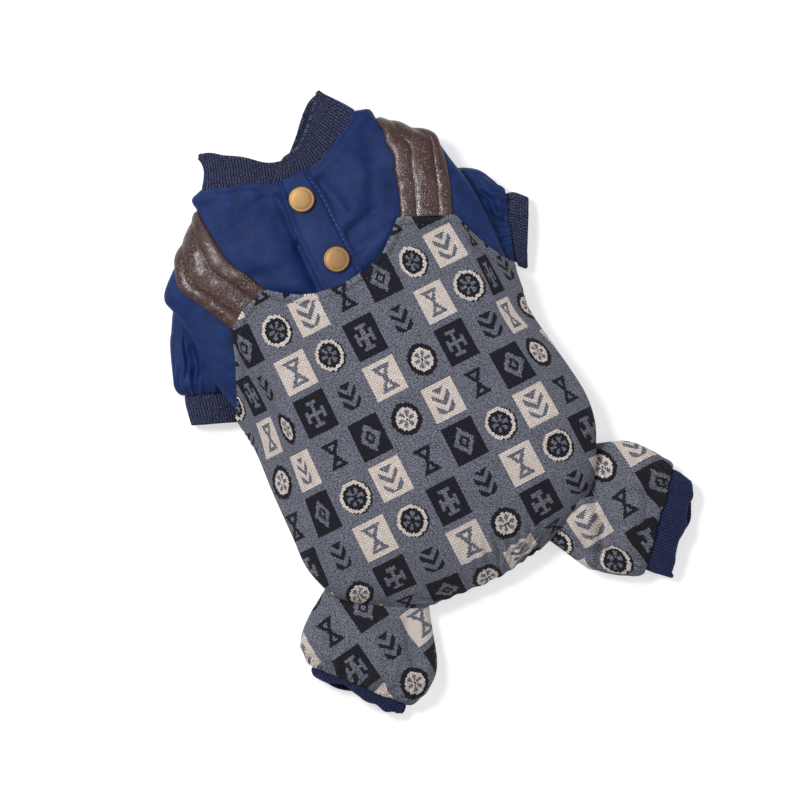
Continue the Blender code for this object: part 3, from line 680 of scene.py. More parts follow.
class Value:
    """A shader's value, which takes plain arithmetic. On masks & is both, | is either and ~ is not."""

    def __init__(self, nodes, socket):
        """Holds an output's socket and the tree that it is in."""
        self.nodes = nodes
        self.socket = socket

    __add__ = __radd__ = arithmetic("ADD")
    __sub__ = arithmetic("SUBTRACT")
    __rsub__ = arithmetic("SUBTRACT", turned=True)
    __mul__ = __and__ = arithmetic("MULTIPLY")
    __truediv__ = arithmetic("DIVIDE")
    __mod__ = arithmetic("FLOORED_MODULO")
    __pow__ = arithmetic("POWER")
    __lt__ = arithmetic("LESS_THAN")
    __gt__ = arithmetic("GREATER_THAN")
    __or__ = arithmetic("MAXIMUM")

    def __invert__(self):
        return 1.0 - self

    def __abs__(self):
        return self.nodes.math("ABSOLUTE", self)


class Nodes:
    """Short ways to add linked nodes to a material's or a group's tree."""

    def __init__(self, tree):
        self.tree = tree

    def give(self, socket, value):
        """Links a value to a socket, or sets the socket to a number, vector or colour."""
        if isinstance(value, Value):
            self.tree.links.new(value.socket, socket)
        else:
            socket.default_value = value

    def give_all(self, sockets, **values):
        """Gives each named socket its value. An underscore in a name stands for a space."""
        for name, value in values.items():
            self.give(sockets[name.replace("_", " ")], value)

    def add(self, kind, output, settings=None, **inputs):
        """Adds a node, and gives one of its outputs."""
        node = self.tree.nodes.new(kind)
        for name, value in (settings or {}).items():
            setattr(node, name, value)
        self.give_all(node.inputs, **inputs)
        return Value(self, node.outputs[output])

    def act(self, kind, operation, *values):
        """Adds a node that joins values by an operation."""
        node = self.tree.nodes.new(kind)
        node.operation = operation
        for socket, value in zip(node.inputs, values):
            self.give(socket, value)
        return Value(self, node.outputs[0])

    def math(self, operation, *values):
        return self.act("ShaderNodeMath", operation, *values)

    def vector(self, operation, *values):
        return self.act("ShaderNodeVectorMath", operation, *values)

    def mix(self, factor, first, second):
        """A colour mix."""
        node = self.tree.nodes.new("ShaderNodeMix")
        node.data_type = "RGBA"
        for number, value in ((0, factor), (6, first), (7, second)):
            self.give(node.inputs[number], value)
        return Value(self, node.outputs[2])

    def noise(self, place, scale, detail=3.0, roughness=0.55, output="Fac"):
        inputs = {"Vector": place, "Scale": scale, "Detail": detail, "Roughness": roughness}
        return self.add("ShaderNodeTexNoise", output, **inputs)

    def ramp(self, value, low, high):
        """Goes smoothly from 0 where the value is low to 1 where it is high."""
        node = self.tree.nodes.new("ShaderNodeMapRange")
        node.interpolation_type = "SMOOTHSTEP"
        for socket, setting in zip(node.inputs, (value, low, high)):
            self.give(socket, setting)
        return Value(self, node.outputs[0])

    def split(self, place):
        """The X and the Y of a place."""
        node = self.tree.nodes.new("ShaderNodeSeparateXYZ")
        self.give(node.inputs[0], place)
        return Value(self, node.outputs[0]), Value(self, node.outputs[1])

    def cloth_place(self):
        return self.add("ShaderNodeUVMap", 0, {"uv_map": "cloth"})

    def object_place(self):
        return self.add("ShaderNodeTexCoord", "Object")

    def effect(self, effect, **inputs):
        """Places an effect's node group, and gives its outputs by name."""
        node = self.tree.nodes.new("ShaderNodeGroup")
        node.node_tree = group_of(effect)
        self.give_all(node.inputs, **inputs)
        return {socket.name: Value(self, socket) for socket in node.outputs}

    def emboss(self, shader, height, distance, strength):
        """Gives the shader a bump of this height."""
        normal = self.add("ShaderNodeBump", "Normal", Height=height, Distance=distance, Strength=strength)
        self.give(shader["Normal"], normal)


# An effect is a function that fills a node group from a place and some numbers with defaults
Effect = namedtuple("Effect", "name fill inputs outputs")


def group_of(effect):
    """The node group of an effect, built the first time."""
    group = bpy.data.node_groups.get(effect.name)
    if group:
        return group
    group = bpy.data.node_groups.new(effect.name, "ShaderNodeTree")
    group.interface.new_socket("Place", in_out="INPUT", socket_type="NodeSocketVector")
    for label, default in effect.inputs.items():
        socket = group.interface.new_socket(label, in_out="INPUT", socket_type="NodeSocketFloat")
        socket.default_value = default
    for label in effect.outputs:
        group.interface.new_socket(label, in_out="OUTPUT", socket_type="NodeSocketFloat")
    nodes = Nodes(group)
    start = {socket.name: Value(nodes, socket) for socket in group.nodes.new("NodeGroupInput").outputs}
    end = group.nodes.new("NodeGroupOutput").inputs
    for label, result in zip(effect.outputs, effect.fill(nodes, start)):
        nodes.give(end[label], result)
    return group


def fill_fibres(n, start):
    """Mottling of spun fibres: a fine fleck and a soft patchiness."""
    streaked = n.vector("MULTIPLY", start["Place"], (0.75, 1.0, 1.0))
    fleck = n.ramp(n.noise(streaked, start["Fleck Scale"], 4.0, 0.75), 0.39, 0.61)
    patch = n.ramp(n.noise(start["Place"], start["Patch Scale"], 3.0, 0.5), 0.30, 0.70)
    return fleck, patch


def fill_loops(n, start):
    """Rows of knitted loops on a cloth's own coordinates: a height, and the shade between the loops."""
    x, y = n.split(start["Place"])
    slant = abs(n.math("FRACT", x / start["Width"]) - 0.5)
    row = y / start["Height"] + slant
    relief = (1.0 - slant * 2.0) ** 0.5 * abs(n.math("SINE", row * math.pi)) ** 0.6
    return relief, n.ramp(relief, 0.05, 0.55)


# Where the pattern's first cell starts on the cloth
PATTERN_LEFT = -0.0743
PATTERN_TOP = 0.0685


def fill_cells(n, start):
    """The knitted pattern's dark and light masks: cells in a repeating order, stepped to whole loops."""
    # Every point takes the value at the middle of its loop, and the loops' edges waver a little
    waver = n.noise(start["Place"], 900.0, 1.0, 0.5, "Color")
    wavy = n.vector("MULTIPLY_ADD", waver, (0.0005, 0.0005, 0.0), start["Place"])
    loop = start["Loop"]
    middle_x, middle_y = ((n.math("FLOOR", place / loop) + 0.5) * loop for place in n.split(wavy))
    column_place = (middle_x - PATTERN_LEFT) / start["Column Pitch"]
    row_place = (PATTERN_TOP - middle_y) / start["Row Pitch"]
    column, row = n.math("FLOOR", column_place), n.math("FLOOR", row_place)

    # The place in the cell, in millimetres from its middle
    x = (n.math("FRACT", column_place) - 0.5) * (start["Column Pitch"] * 1000.0)
    y = (0.5 - n.math("FRACT", row_place)) * (start["Row Pitch"] * 1000.0)
    far_x, far_y = abs(x), abs(y)

    # Which of the four kinds of cell this is: the orders of a row's and a column's pairs are crossed
    column_in_four, row_in_four = column % 4.0, row % 4.0
    shifted = n.math("FLOOR", (row_in_four + 1.0) % 4.0 / 2.0)
    pair = (n.math("FLOOR", column_in_four / 2.0) + row_in_four % 2.0) % 2.0
    single = (column_in_four + shifted) % 2.0
    is_dark, is_disc = ~pair & ~single, ~pair & single
    is_light, is_bare = pair & ~single, pair & single

    # Four ornaments, taken in turn: a rhomb round a dot, an hourglass, chevrons and a cross with barred ends
    rhomb = far_x / 5.8 + far_y / 7.6
    rhombs = (rhomb < 1.0) & (rhomb > 0.52) | (rhomb < 0.24)
    inside = (far_x < 4.9) & (far_y < 6.8)
    slope = far_y * 0.62
    hollow = (far_x < slope - 1.5) & (far_y < 5.2)
    hourglass = inside & (far_x < slope + 0.7) & ~hollow
    chevrons = inside & ((y - far_x + 21.5) % 6.2 < 3.1)
    arms = n.math("MINIMUM", far_x, far_y) < 1.15
    upper_bars = (far_y > 4.9) & (far_x < 2.9)
    side_bars = (far_x > 3.3) & (far_y < 3.0)
    cross = (arms | upper_bars | side_bars) & inside
    turn = (column * 3.0 + row * 2.0) % 4.0
    ornament = n.math("COMPARE", turn, 0.0, 0.1) & rhombs
    for number, shape in enumerate((hourglass, chevrons, cross), 1):
        ornament = ornament | n.math("COMPARE", turn, float(number), 0.1) & shape

    # Discs, a little taller than wide: a dark ring round a light rosette, or a light ring round a dark one
    low_y = y * 0.92
    reach = (x * x + low_y * low_y) ** 0.5
    shadow_x, shadow_y = x - 0.8, low_y + 0.5
    shadow = (shadow_x * shadow_x + shadow_y * shadow_y < 60.0) & (reach > 7.5)
    petals = (n.math("COSINE", n.math("ARCTAN2", low_y, x) * 6.0) > -0.15) & (reach < 4.2)
    heart = reach < 1.2
    dark_ring = (reach < 7.7) & (reach > 5.4)
    light_rosette = (reach < 5.4) & ~petals
    light_ring = (reach < 7.5) & (reach > 5.9)
    dark_rosette = (reach < 5.9) & ~petals
    turned = (column + row * 3.0) % 2.0
    disc_dark = ~turned & (dark_ring | heart) | turned & (dark_rosette | shadow | heart)
    disc_light = ~turned & light_rosette | turned & light_ring

    dark_block = (far_x < 8.4) & (far_y < 10.1)
    light_block = (far_x < 8.5) & (far_y < 9.3)
    dark = is_dark & dark_block & ~ornament | is_bare & ornament | is_disc & disc_dark
    light = is_light & light_block & ~ornament | is_disc & disc_light
    return dark, light


def fill_grain(n, start):
    """Leather grain: pebbles between fine creases, and broader wrinkles."""
    place = start["Place"]
    bent = n.vector("MULTIPLY_ADD", n.noise(place, 420.0, 2.0, 0.5, "Color"), (0.0012, 0.0012, 0.0012), place)
    to_edge = {"feature": "DISTANCE_TO_EDGE"}
    pebbles = n.add("ShaderNodeTexVoronoi", "Distance", to_edge, Vector=bent, Scale=start["Scale"])
    crease = n.ramp(pebbles, 0.0, 0.22)
    return crease + n.noise(place, 210.0, 3.0, 0.5) * 0.9, crease


FIBRES = Effect("fibre_fleck", fill_fibres, {"Fleck Scale": 1500.0, "Patch Scale": 90.0}, ("Fleck", "Patch"))
LOOPS = Effect("knitted_loops", fill_loops, {"Width": 0.00085, "Height": 0.00085}, ("Relief", "Shade"))
CELL_INPUTS = {"Column Pitch": 0.0206, "Row Pitch": 0.0230, "Loop": 0.00085}
CELLS = Effect("pattern_cells", fill_cells, CELL_INPUTS, ("Dark", "Light"))
GRAIN = Effect("leather_grain", fill_grain, {"Scale": 900.0}, ("Relief", "Crease"))


def shade(colour, factor=1.0):
    """A colour made lighter or darker, with the alpha that sockets take."""
    return (*(min(1.0, factor * level) for level in colour), 1.0)


def material_of(context, name, build, *values):
    """The material of this name, whose finish a function builds the first time."""
    material = bpy.data.materials.get(name)
    if not material:
        material = bpy.data.materials.new(name)
        material.use_nodes = True
        shader = material.node_tree.nodes["Principled BSDF"].inputs
        scene = context.scene
        build(Nodes(material.node_tree), shader, scene.overalls_sizes, scene.overalls_colours, *values)
    return material


def figured_knit(n, shader, sizes, colours):
    """The trunk's knit: a heather ground, dark and woven light cells, and the relief of its loops."""
    place, loop = n.cloth_place(), sizes.loop_pitch
    pitches = {"Column_Pitch": sizes.column_pitch, "Row_Pitch": sizes.row_pitch}
    cells = n.effect(CELLS, Place=place, Loop=loop, **pitches)
    fleck = n.effect(FIBRES, Place=place, Fleck_Scale=1450.0, Patch_Scale=70.0)
    lint = n.effect(FIBRES, Place=place, Fleck_Scale=620.0, Patch_Scale=240.0)
    loops = n.effect(LOOPS, Place=place, Width=loop, Height=loop)
    heather, cream = colours.heather, colours.cream
    ground = n.mix(fleck["Fleck"], shade(heather, 0.20), shade(heather, 2.9))
    flecks = ((lint["Fleck"] * 0.20, 2.4), (lint["Patch"] * 0.22, 0.5), (fleck["Patch"] * 0.16, 0.6))
    for amount, factor in flecks:
        ground = n.mix(amount, ground, shade(heather, factor))
    charcoal = n.mix(fleck["Fleck"] * 0.16, shade(colours.charcoal), shade(heather))
    bricks = {"Vector": place, "Scale": 1.0, "Brick_Width": 2.2 * loop, "Row_Height": 1.1 * loop}
    # Painted shade: the joints between the woven loops are a third of the cream's tone
    shaded_joints = {"Mortar_Size": 0.22 * loop, "Mortar_Smooth": 0.6, "Mortar": shade(cream, 0.34)}
    tones = {"Color1": shade(cream, 1.10), "Color2": shade(cream, 0.86)}
    woven = n.add("ShaderNodeTexBrick", "Color", {"offset": 0.5}, **bricks, **shaded_joints, **tones)
    light = n.mix(fleck["Patch"] * 0.10, woven, shade(cream, 0.7))
    cloth = n.mix(cells["Light"], n.mix(cells["Dark"], ground, charcoal), light)
    shaded = n.mix(~loops["Shade"] * 0.22, cloth, (0.01, 0.01, 0.014, 1))
    n.give_all(shader, Base_Color=shaded, Roughness=0.93, Specular_IOR_Level=0.10)
    n.give_all(shader, Sheen_Weight=0.04, Sheen_Roughness=0.5)
    loft = loops["Relief"] + fleck["Fleck"] * 0.5
    n.emboss(shader, loft + (cells["Light"] + cells["Dark"]) * 0.35, 0.00022, 0.8)


def navy_cloth(n, shader, sizes, colours):
    """The shirt's twill, with soft lighter patches that are partly the nap's own tone and partly painted
    sheen.
    """
    place = n.cloth_place()
    fleck = n.effect(FIBRES, Place=place, Fleck_Scale=1700.0, Patch_Scale=45.0)
    twill = n.add("ShaderNodeMapping", 0, Vector=place, Rotation=(0.0, 0.0, math.radians(58)))
    lines = abs(n.math("SINE", n.split(twill)[0] * (math.pi / 0.00042)))
    navy = colours.navy
    base = n.mix(fleck["Fleck"], shade(navy, 0.80), shade(navy, 1.16))
    base = n.mix(fleck["Patch"] * 0.34, base, shade(navy, 0.50))
    # Soft lighter patches: partly the nap's own tone, partly painted sheen
    nap_and_painted_sheen = n.ramp(n.noise(place, 150.0, 4.0, 0.6), 0.40, 0.72)
    base = n.mix(nap_and_painted_sheen * 0.40, base, shade(navy, 1.9))
    n.give_all(shader, Base_Color=base, Roughness=fleck["Patch"] * 0.12 + 0.52, Specular_IOR_Level=0.22)
    n.give_all(shader, Sheen_Weight=0.08, Sheen_Roughness=0.35, Sheen_Tint=(0.35, 0.48, 1.0, 1.0))
    n.emboss(shader, lines * 0.6 + fleck["Fleck"] * 0.6, 0.00009, 0.7)


def rib_knit(n, shader, sizes, colours, fleck_share):
    """The ribs: painted shade in the valleys between them, and pale flecks on the crests."""
    place = n.cloth_place()
    crest = 1.0 - abs(n.math("FRACT", n.split(place)[0] / sizes.rib_pitch) - 0.5) * 2.0
    loops = n.effect(LOOPS, Place=place, Width=sizes.rib_pitch / 2, Height=0.0011)
    fleck = n.effect(FIBRES, Place=place, Fleck_Scale=1250.0, Patch_Scale=80.0)
    # Painted shade: the valleys between the ribs are darkened to three tenths of the rib colour
    base = n.mix(n.ramp(crest, 0.0, 0.55), shade(colours.rib, 0.30), shade(colours.rib))
    on_crest = n.ramp(crest, 0.25, 0.75) & n.ramp(loops["Relief"], 0.35, 0.8)
    speck = n.ramp(fleck["Fleck"], 0.10, 0.70) & on_crest
    base = n.mix(speck * fleck_share, base, shade(colours.rib_fleck))
    n.give_all(shader, Base_Color=base, Roughness=0.90, Specular_IOR_Level=0.2)
    n.give_all(shader, Sheen_Weight=0.12, Sheen_Tint=(0.5, 0.6, 1.0, 1.0))
    n.emboss(shader, loops["Relief"] + fleck["Fleck"] * 0.4, 0.00022, 0.8)


def brown_leather(n, shader, sizes, colours):
    """The straps' leather, darker in the creases of its grain."""
    place = n.object_place()
    grain = n.effect(GRAIN, Place=place, Scale=850.0)
    patch = n.effect(FIBRES, Place=place, Fleck_Scale=500.0, Patch_Scale=60.0)["Patch"]
    base = n.mix(grain["Crease"], shade(colours.leather, 0.40), shade(colours.leather))
    base = n.mix(patch * 0.30, base, shade(colours.leather, 1.5))
    n.give_all(shader, Base_Color=base, Roughness=patch * 0.12 + 0.27, Specular_IOR_Level=0.60)
    n.give_all(shader, Coat_Weight=0.12, Coat_Roughness=0.22)
    n.emboss(shader, grain["Relief"], 0.00012, 0.8)


def brushed_brass(n, shader, sizes, colours):
    """The caps' dull brass."""
    place = n.object_place()
    fine = n.noise(place, 2600.0, 4.0, 0.7)
    base = n.mix(n.noise(place, 260.0, 2.0, 0.5), shade(colours.brass, 0.86), shade(colours.brass))
    n.give_all(shader, Base_Color=base, Roughness=fine * 0.16 + 0.42, Metallic=0.9)
    n.emboss(shader, fine, 0.00003, 0.6)


def sewing_thread(n, shader, sizes, colours, *levels):
    """Thread in a tone given by its screen levels."""
    fine = n.noise(n.object_place(), 3200.0, 3.0, 0.6)
    tone = srgb(*levels)
    n.give_all(shader, Base_Color=n.mix(fine, shade(tone, 0.7), shade(tone, 1.2)), Roughness=0.7)
    n.emboss(shader, fine, 0.00005, 0.7)


def pale_floor(n, shader, sizes, colours):
    """The studio's white floor, which glows a little so that its shadows stay pale."""
    tone = n.mix(n.noise(n.object_place(), 3.0, 2.0), (0.62, 0.62, 0.625, 1), (0.65, 0.65, 0.655, 1))
    n.give_all(shader, Base_Color=tone, Roughness=0.9)
    n.give_all(shader, Emission_Color=(1.0, 1.0, 1.0, 1.0), Emission_Strength=0.55)


def nearest(values, target):
    """Where in a list the value lies that is nearest to the target."""
    return min(range(len(values)), key=lambda i: abs(values[i] - target))


def running_lengths(points):
    """How long the line through the points is at each of them."""
    lengths = [0.0]
    for a, b in zip(points, points[1:]):
        lengths.append(lengths[-1] + (b - a).length)
    return lengths


def evenly(places, points, count):
    """Places that divide the line through their points evenly."""
    lengths = running_lengths(points)
    even = []
    i = 0
    for k in range(count + 1):
        reach = lengths[-1] * k / count
        while i < len(places) - 2 and lengths[i + 1] < reach:
            i += 1
        part = (reach - lengths[i]) / (lengths[i + 1] - lengths[i])
        even.append(places[i] + (places[i + 1] - places[i]) * min(part, 1.0))
    return even


def even_turns(form, count):
    """Turns that divide a section evenly, from the belly by the left, the back and the right to the belly."""
    fine = [math.radians(270 - 0.5 * k) for k in range(721)]
    return evenly(fine, [form(turn) for turn in fine], count)


def eased(count, ease):
    """Shares from 0 to 1 that crowd towards 1."""
    return [1 - (1 - k / count) ** ease for k in range(count + 1)]


def facing(points, loop):
    """Unit normals of a grid of points, whose rows may close to loops."""
    last = len(points[0]) - 1
    normals = []
    for j, row in enumerate(points):
        above, below = points[min(j + 1, len(points) - 1)], points[max(j - 1, 0)]
        line = []
        for i in range(last + 1):
            after = min(i + 1, last) if i < last or not loop else 1
            before = max(i - 1, 0) if i or not loop else last - 1
            line.append((row[after] - row[before]).cross(above[i] - below[i]).normalized())
        normals.append(line)
    return normals


def between(form, turns, spans, shares):
    """A grid of a form's points, in which every column runs between its own two places along the form."""
    return [[form(low + (high - low) * share, t) for t, (low, high) in zip(turns, spans)] for share in shares]


def lengths_from(line, middle, start=0.0):
    """Every point's place along its own line, counted from the middle one's."""
    lengths = [start] * len(line)
    for i in range(middle + 1, len(line)):
        lengths[i] = lengths[i - 1] + (line[i] - line[i - 1]).length
    for i in range(middle - 1, -1, -1):
        lengths[i] = lengths[i + 1] - (line[i] - line[i + 1]).length
    return lengths


def laid_flat(points, middle, start_row, origin=0.0):
    """Every point's place on the flat cloth: its length along its row from a column, and along its column."""
    along = [lengths_from(column, start_row, column[start_row].y - origin) for column in zip(*points)]
    flat = []
    for j, line in enumerate(points):
        across = lengths_from(line, middle, line[middle].x)
        flat.append([(across[i], along[i][j]) for i in range(len(line))])
    return flat


def raised(points, normals, relief, floor=None):
    """The grid moved out along its normals by a height for each row and column, and kept off the floor."""
    moved = []
    for j, (line, facings) in enumerate(zip(points, normals)):
        new_line = []
        for i, (point, normal) in enumerate(zip(line, facings)):
            spot = point + normal * relief(j, i, point)
            if floor is not None:
                spot.z = max(spot.z, floor)
            new_line.append(spot)
        moved.append(new_line)
    return moved


def edge_ways(points, normals, row, other):
    """Unit ways that lead straight off the grid at its first or last row."""
    columns = len(points[0])
    ways = []
    for i in range(columns):
        run = points[row][min(i + 1, columns - 1)] - points[row][max(i - 1, 0)]
        way = run.cross(normals[row][i]).normalized()
        ways.append(way if way.dot(points[row][i] - points[other][i]) > 0 else -way)
    return ways


def cloth_wall(name, points, normals, flat, wall, finish, loop=True, inner_step=4):
    """A closed wall of cloth: its outer face, a rounded edge, the inner face and the other rounded edge."""
    half = wall / 2
    last = len(points) - 1
    middle = [[p - n * half for p, n in zip(*pair)] for pair in zip(points, normals)]
    thin = [1.0] * len(points[0])
    if not loop:
        middle, normals, flat, thin = with_rounded_ends(middle, normals, flat, half)
        inner_step = 1

    def side(j, out):
        return [m + n * out * t for m, n, t in zip(middle[j], normals[j], thin)], flat[j]

    def edge(row, other):
        ways = edge_ways(middle, normals, row, other)
        lines = []
        for k in range(1, EDGE_STEPS + 1):
            bend = math.pi * k / (EDGE_STEPS + 1)
            out, ahead = math.cos(bend) * half, math.sin(bend) * half
            spots = zip(middle[row], normals[row], ways, thin)
            lines.append(([m + (n * out + w * ahead) * t for m, n, w, t in spots], flat[row]))
        return lines

    inner = sorted({0, last, *range(0, last, inner_step)}, reverse=True)
    lines = [side(j, half) for j in range(last + 1)] + edge(last, last - 1)
    lines += [side(j, -half) for j in inner] + edge(0, 1)[::-1]
    lines.append(lines[0])
    return mesh_from_lines(name, lines, finish)


def with_rounded_ends(middle, normals, flat, half):
    """The grid with more columns at both ends, where the wall thins to nothing on a half circle."""
    columns = len(middle[0])
    bends = [math.pi / 2 * k / EDGE_STEPS for k in range(1, EDGE_STEPS + 1)]
    thin = [math.cos(b) for b in reversed(bends)] + [1.0] * columns + [math.cos(b) for b in bends]
    thin[0] = thin[-1] = 0.0
    new_middle = []
    for line in middle:
        left, right = (line[0] - line[1]).normalized(), (line[-1] - line[-2]).normalized()
        before = [line[0] + left * half * math.sin(b) for b in reversed(bends)]
        after = [line[-1] + right * half * math.sin(b) for b in bends]
        new_middle.append(before + line + after)
    spread = [
        [[line[0]] * EDGE_STEPS + line + [line[-1]] * EDGE_STEPS for line in grid] for grid in (normals, flat)
    ]
    return new_middle, *spread, thin


def mesh_from_lines(name, lines, finish):
    """An object from a grid that is bent through lines of points, welded where its borders meet."""
    rows, columns = len(lines) - 1, len(lines[0][0]) - 1
    bm = bmesh.new()
    bmesh.ops.create_grid(bm, x_segments=columns, y_segments=rows, size=1)
    cloth = bm.loops.layers.uv.new("cloth")
    flat = {}
    for vert in bm.verts:
        i, j = round((vert.co.x + 1) / 2 * columns), round((vert.co.y + 1) / 2 * rows)
        flat[vert] = lines[j][1][i]
        vert.co = lines[j][0][i] + SHIFT
        vert.co.z = max(vert.co.z, 0.0)
    for face in bm.faces:
        for corner in face.loops:
            corner[cloth].uv = flat[corner.vert]
    border = [vert for vert in bm.verts if vert.is_boundary]
    bmesh.ops.remove_doubles(bm, verts=border, dist=1e-7)
    if bm.calc_volume(signed=True) < 0:
        bmesh.ops.reverse_faces(bm, faces=bm.faces)
    return finished(name, bm, finish)


def finished(name, bm, finish=None):
    """An object of this mesh, smooth where it has a finish."""
    mesh = bpy.data.meshes.new(name)
    bm.to_mesh(mesh)
    bm.free()
    if finish:
        mesh.shade_smooth()
        mesh.materials.append(finish)
    obj = bpy.data.objects.new(name, mesh)
    bpy.context.scene.collection.objects.link(obj)
    return obj


def cloth_sheet(obj, points, node):
    width = max(running_lengths(line)[-1] for line in points)
    columns = list(zip(*points))[:: max(1, len(points[0]) // 24)]
    length = max(running_lengths(line)[-1] for line in columns)
    area = sum(face.area for face in obj.data.polygons) / 2
    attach(obj, "root")
    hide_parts(node)


def stitches(name, path, pitch, length, thickness, finish):
    """Raised stitches in one mesh along a path of (point, normal)."""
    bm = bmesh.new()
    gone = 0.0
    following = pitch / 2
    for (a, normal), (b, _) in zip(path, path[1:]):
        run = b - a
        while run.length > 0 and gone + run.length >= following:
            spot = a + run * ((following - gone) / run.length)
            along = run.normalized()
            side = normal.cross(along).normalized()
            up = along.cross(side)
            axes = Matrix((along * length / 2, side * thickness / 2, up * thickness / 2))
            place = Matrix.Translation(spot + SHIFT) @ axes.transposed().to_4x4()
            bmesh.ops.create_uvsphere(bm, u_segments=6, v_segments=4, radius=1, matrix=place)
            following += pitch
        gone += run.length
    bmesh.ops.recalc_face_normals(bm, faces=bm.faces)
    obj = finished(name, bm, finish)
    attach(obj, "root")
    return obj


def cut_away(obj, cutter):
    """Cuts the piece by a closed form, and removes that form."""
    trim = obj.modifiers.new("trim", "BOOLEAN")
    trim.operation = "DIFFERENCE"
    trim.solver = "EXACT"
    trim.object = cutter
    graph = bpy.context.evaluated_depsgraph_get()
    cut = bpy.data.meshes.new_from_object(obj.evaluated_get(graph))
    obj.modifiers.clear()
    obj.data = cut
    mesh = cutter.data
    bpy.data.objects.remove(cutter)
    bpy.data.meshes.remove(mesh)


def closed_form(name, lines):
    """A capped form through closed lines of points, to cut with."""
    bm = bmesh.new()
    rows, columns = len(lines) - 1, len(lines[0]) - 1
    bmesh.ops.create_grid(bm, x_segments=columns, y_segments=rows, size=1)
    for vert in bm.verts:
        i, j = round((vert.co.x + 1) / 2 * columns), round((vert.co.y + 1) / 2 * rows)
        vert.co = lines[j][i] + SHIFT
    bmesh.ops.remove_doubles(bm, verts=[v for v in bm.verts if v.is_boundary], dist=1e-7)
    bmesh.ops.holes_fill(bm, edges=[e for e in bm.edges if e.is_boundary], sides=0)
    bmesh.ops.triangulate(bm, faces=[f for f in bm.faces if len(f.verts) > 4])
    if bm.calc_volume(signed=True) < 0:
        bmesh.ops.reverse_faces(bm, faces=bm.faces)
    return finished(name, bm)


def fineness(count):
    return count


def edge_slope(points, row, i):
    """How squarely a column meets the grid's last row: 1 where the edge is straight across."""
    columns = len(points[0])
    run = points[row][min(i + 1, columns - 1)] - points[row][max(i - 1, 0)]
    ahead = points[row][i] - points[row - 2][i]
    return max(0.25, run.normalized().cross(ahead.normalized()).length)


def trunk_fold(point, along, turn):
    """Broad softness of the padded trunk, shared by its face and its stitching."""
    spot = Vector((point.x, point.y, point.z * 0.5))
    up_side = max(0.0, math.sin(turn))
    soft = 0.0011 * noise.noise(spot * 26.0) + 0.0005 * noise.noise(spot * 62.0)
    gathers = 0.6 * HEM_GATHER_DEPTH * math.cos(HEM_GATHERS * turn) * bump(along, 0.05)
    fine = 0.0004 * math.cos(64 * turn + 3 * noise.noise(spot * 90.0)) * bump(along - 0.03, 0.016)
    drawn_in = bump(point.x - HEM_ELASTIC_X, 0.026) * bump(along - 0.045, 0.034)
    elastic = 0.0011 * math.sin((point.x - 0.35 * point.y) * math.tau / 0.0062 + 2 * noise.noise(spot * 70.0))
    return (soft + gathers + fine + elastic * drawn_in) * up_side


def trunk_grid():
    """The trunk's turns, the two ends of its columns, the shares of its rows and its points."""
    columns, rows = fineness(300), fineness(150)
    turns = even_turns(lambda turn: torso_form(0.5, turn), columns)
    spans = [(hem_edge(turn), bib_edge(turn)) for turn in turns]
    shares = eased(rows, 1.25)
    return turns, spans, shares, between(torso_form, turns, spans, shares)


def limb_sections(limb, start, end, rows, columns):
    """A grid of points of a limb, kept off the floor."""
    turns = even_turns(lambda turn: limb_form(limb, (start + end) / 2, turn), columns)
    shares = [start + (end - start) * k / rows for k in range(rows + 1)]
    points = [[limb_form(limb, share, turn) for turn in turns] for share in shares]
    return turns, shares, points


def limb_flat(limb, turns, shares, points):
    """A leg's or sleeve's places on the cloth, in line with the trunk's own grain."""
    flat = []
    middle = nearest(turns, math.pi / 2)
    for share, line in zip(shares, points):
        heading = math.radians(smooth(limb.rows, "heading", share))
        side = Vector((math.sin(heading), -math.cos(heading), 0))
        centre = limb_centre(limb, share)
        flat.append([grain_place(limb.name, centre + side * reach) for reach in lengths_from(line, middle)])
    return flat


def grain_place(name, spot):
    """A leg's or sleeve's place on the cloth's pattern, from a place in the torso's plane."""
    for grain in LEG_GRAIN:
        if grain.limb == name:
            turn = Matrix.Rotation(math.radians(-grain.turn), 2)
            away = turn @ Vector((spot.x - grain.x, spot.y - grain.y))
            return (away.x + grain.cell_x, away.y + grain.cell_y)
    return (spot.x, spot.y)


def limb_fold(limb, point, along, turn):
    """Wrinkles of a limb, deeper near its cuff."""
    spot = Vector((point.x, point.y, point.z))
    near_cuff = bump(along - 1.0, 0.45)
    up_side = 0.35 + 0.65 * max(0.0, math.sin(turn))
    if limb.name.startswith("leg"):
        soft = 0.0012 * noise.noise(spot * 40.0) + 0.0005 * noise.noise(spot * 95.0)
        gathers = 0.0006 * near_cuff * math.cos(26 * turn + 5 * noise.noise(spot * 55.0))
    else:
        soft = 0.0011 * noise.noise(spot * 48.0) + 0.0005 * noise.noise(spot * 110.0)
        gathers = 0.0008 * near_cuff * math.cos(22 * turn + 5 * noise.noise(spot * 60.0))
    creases = crease_height(LIMB_CREASES.get(limb.name, ()), point) * max(0.0, math.sin(turn)) ** 0.5
    return (soft + gathers) * up_side + creases


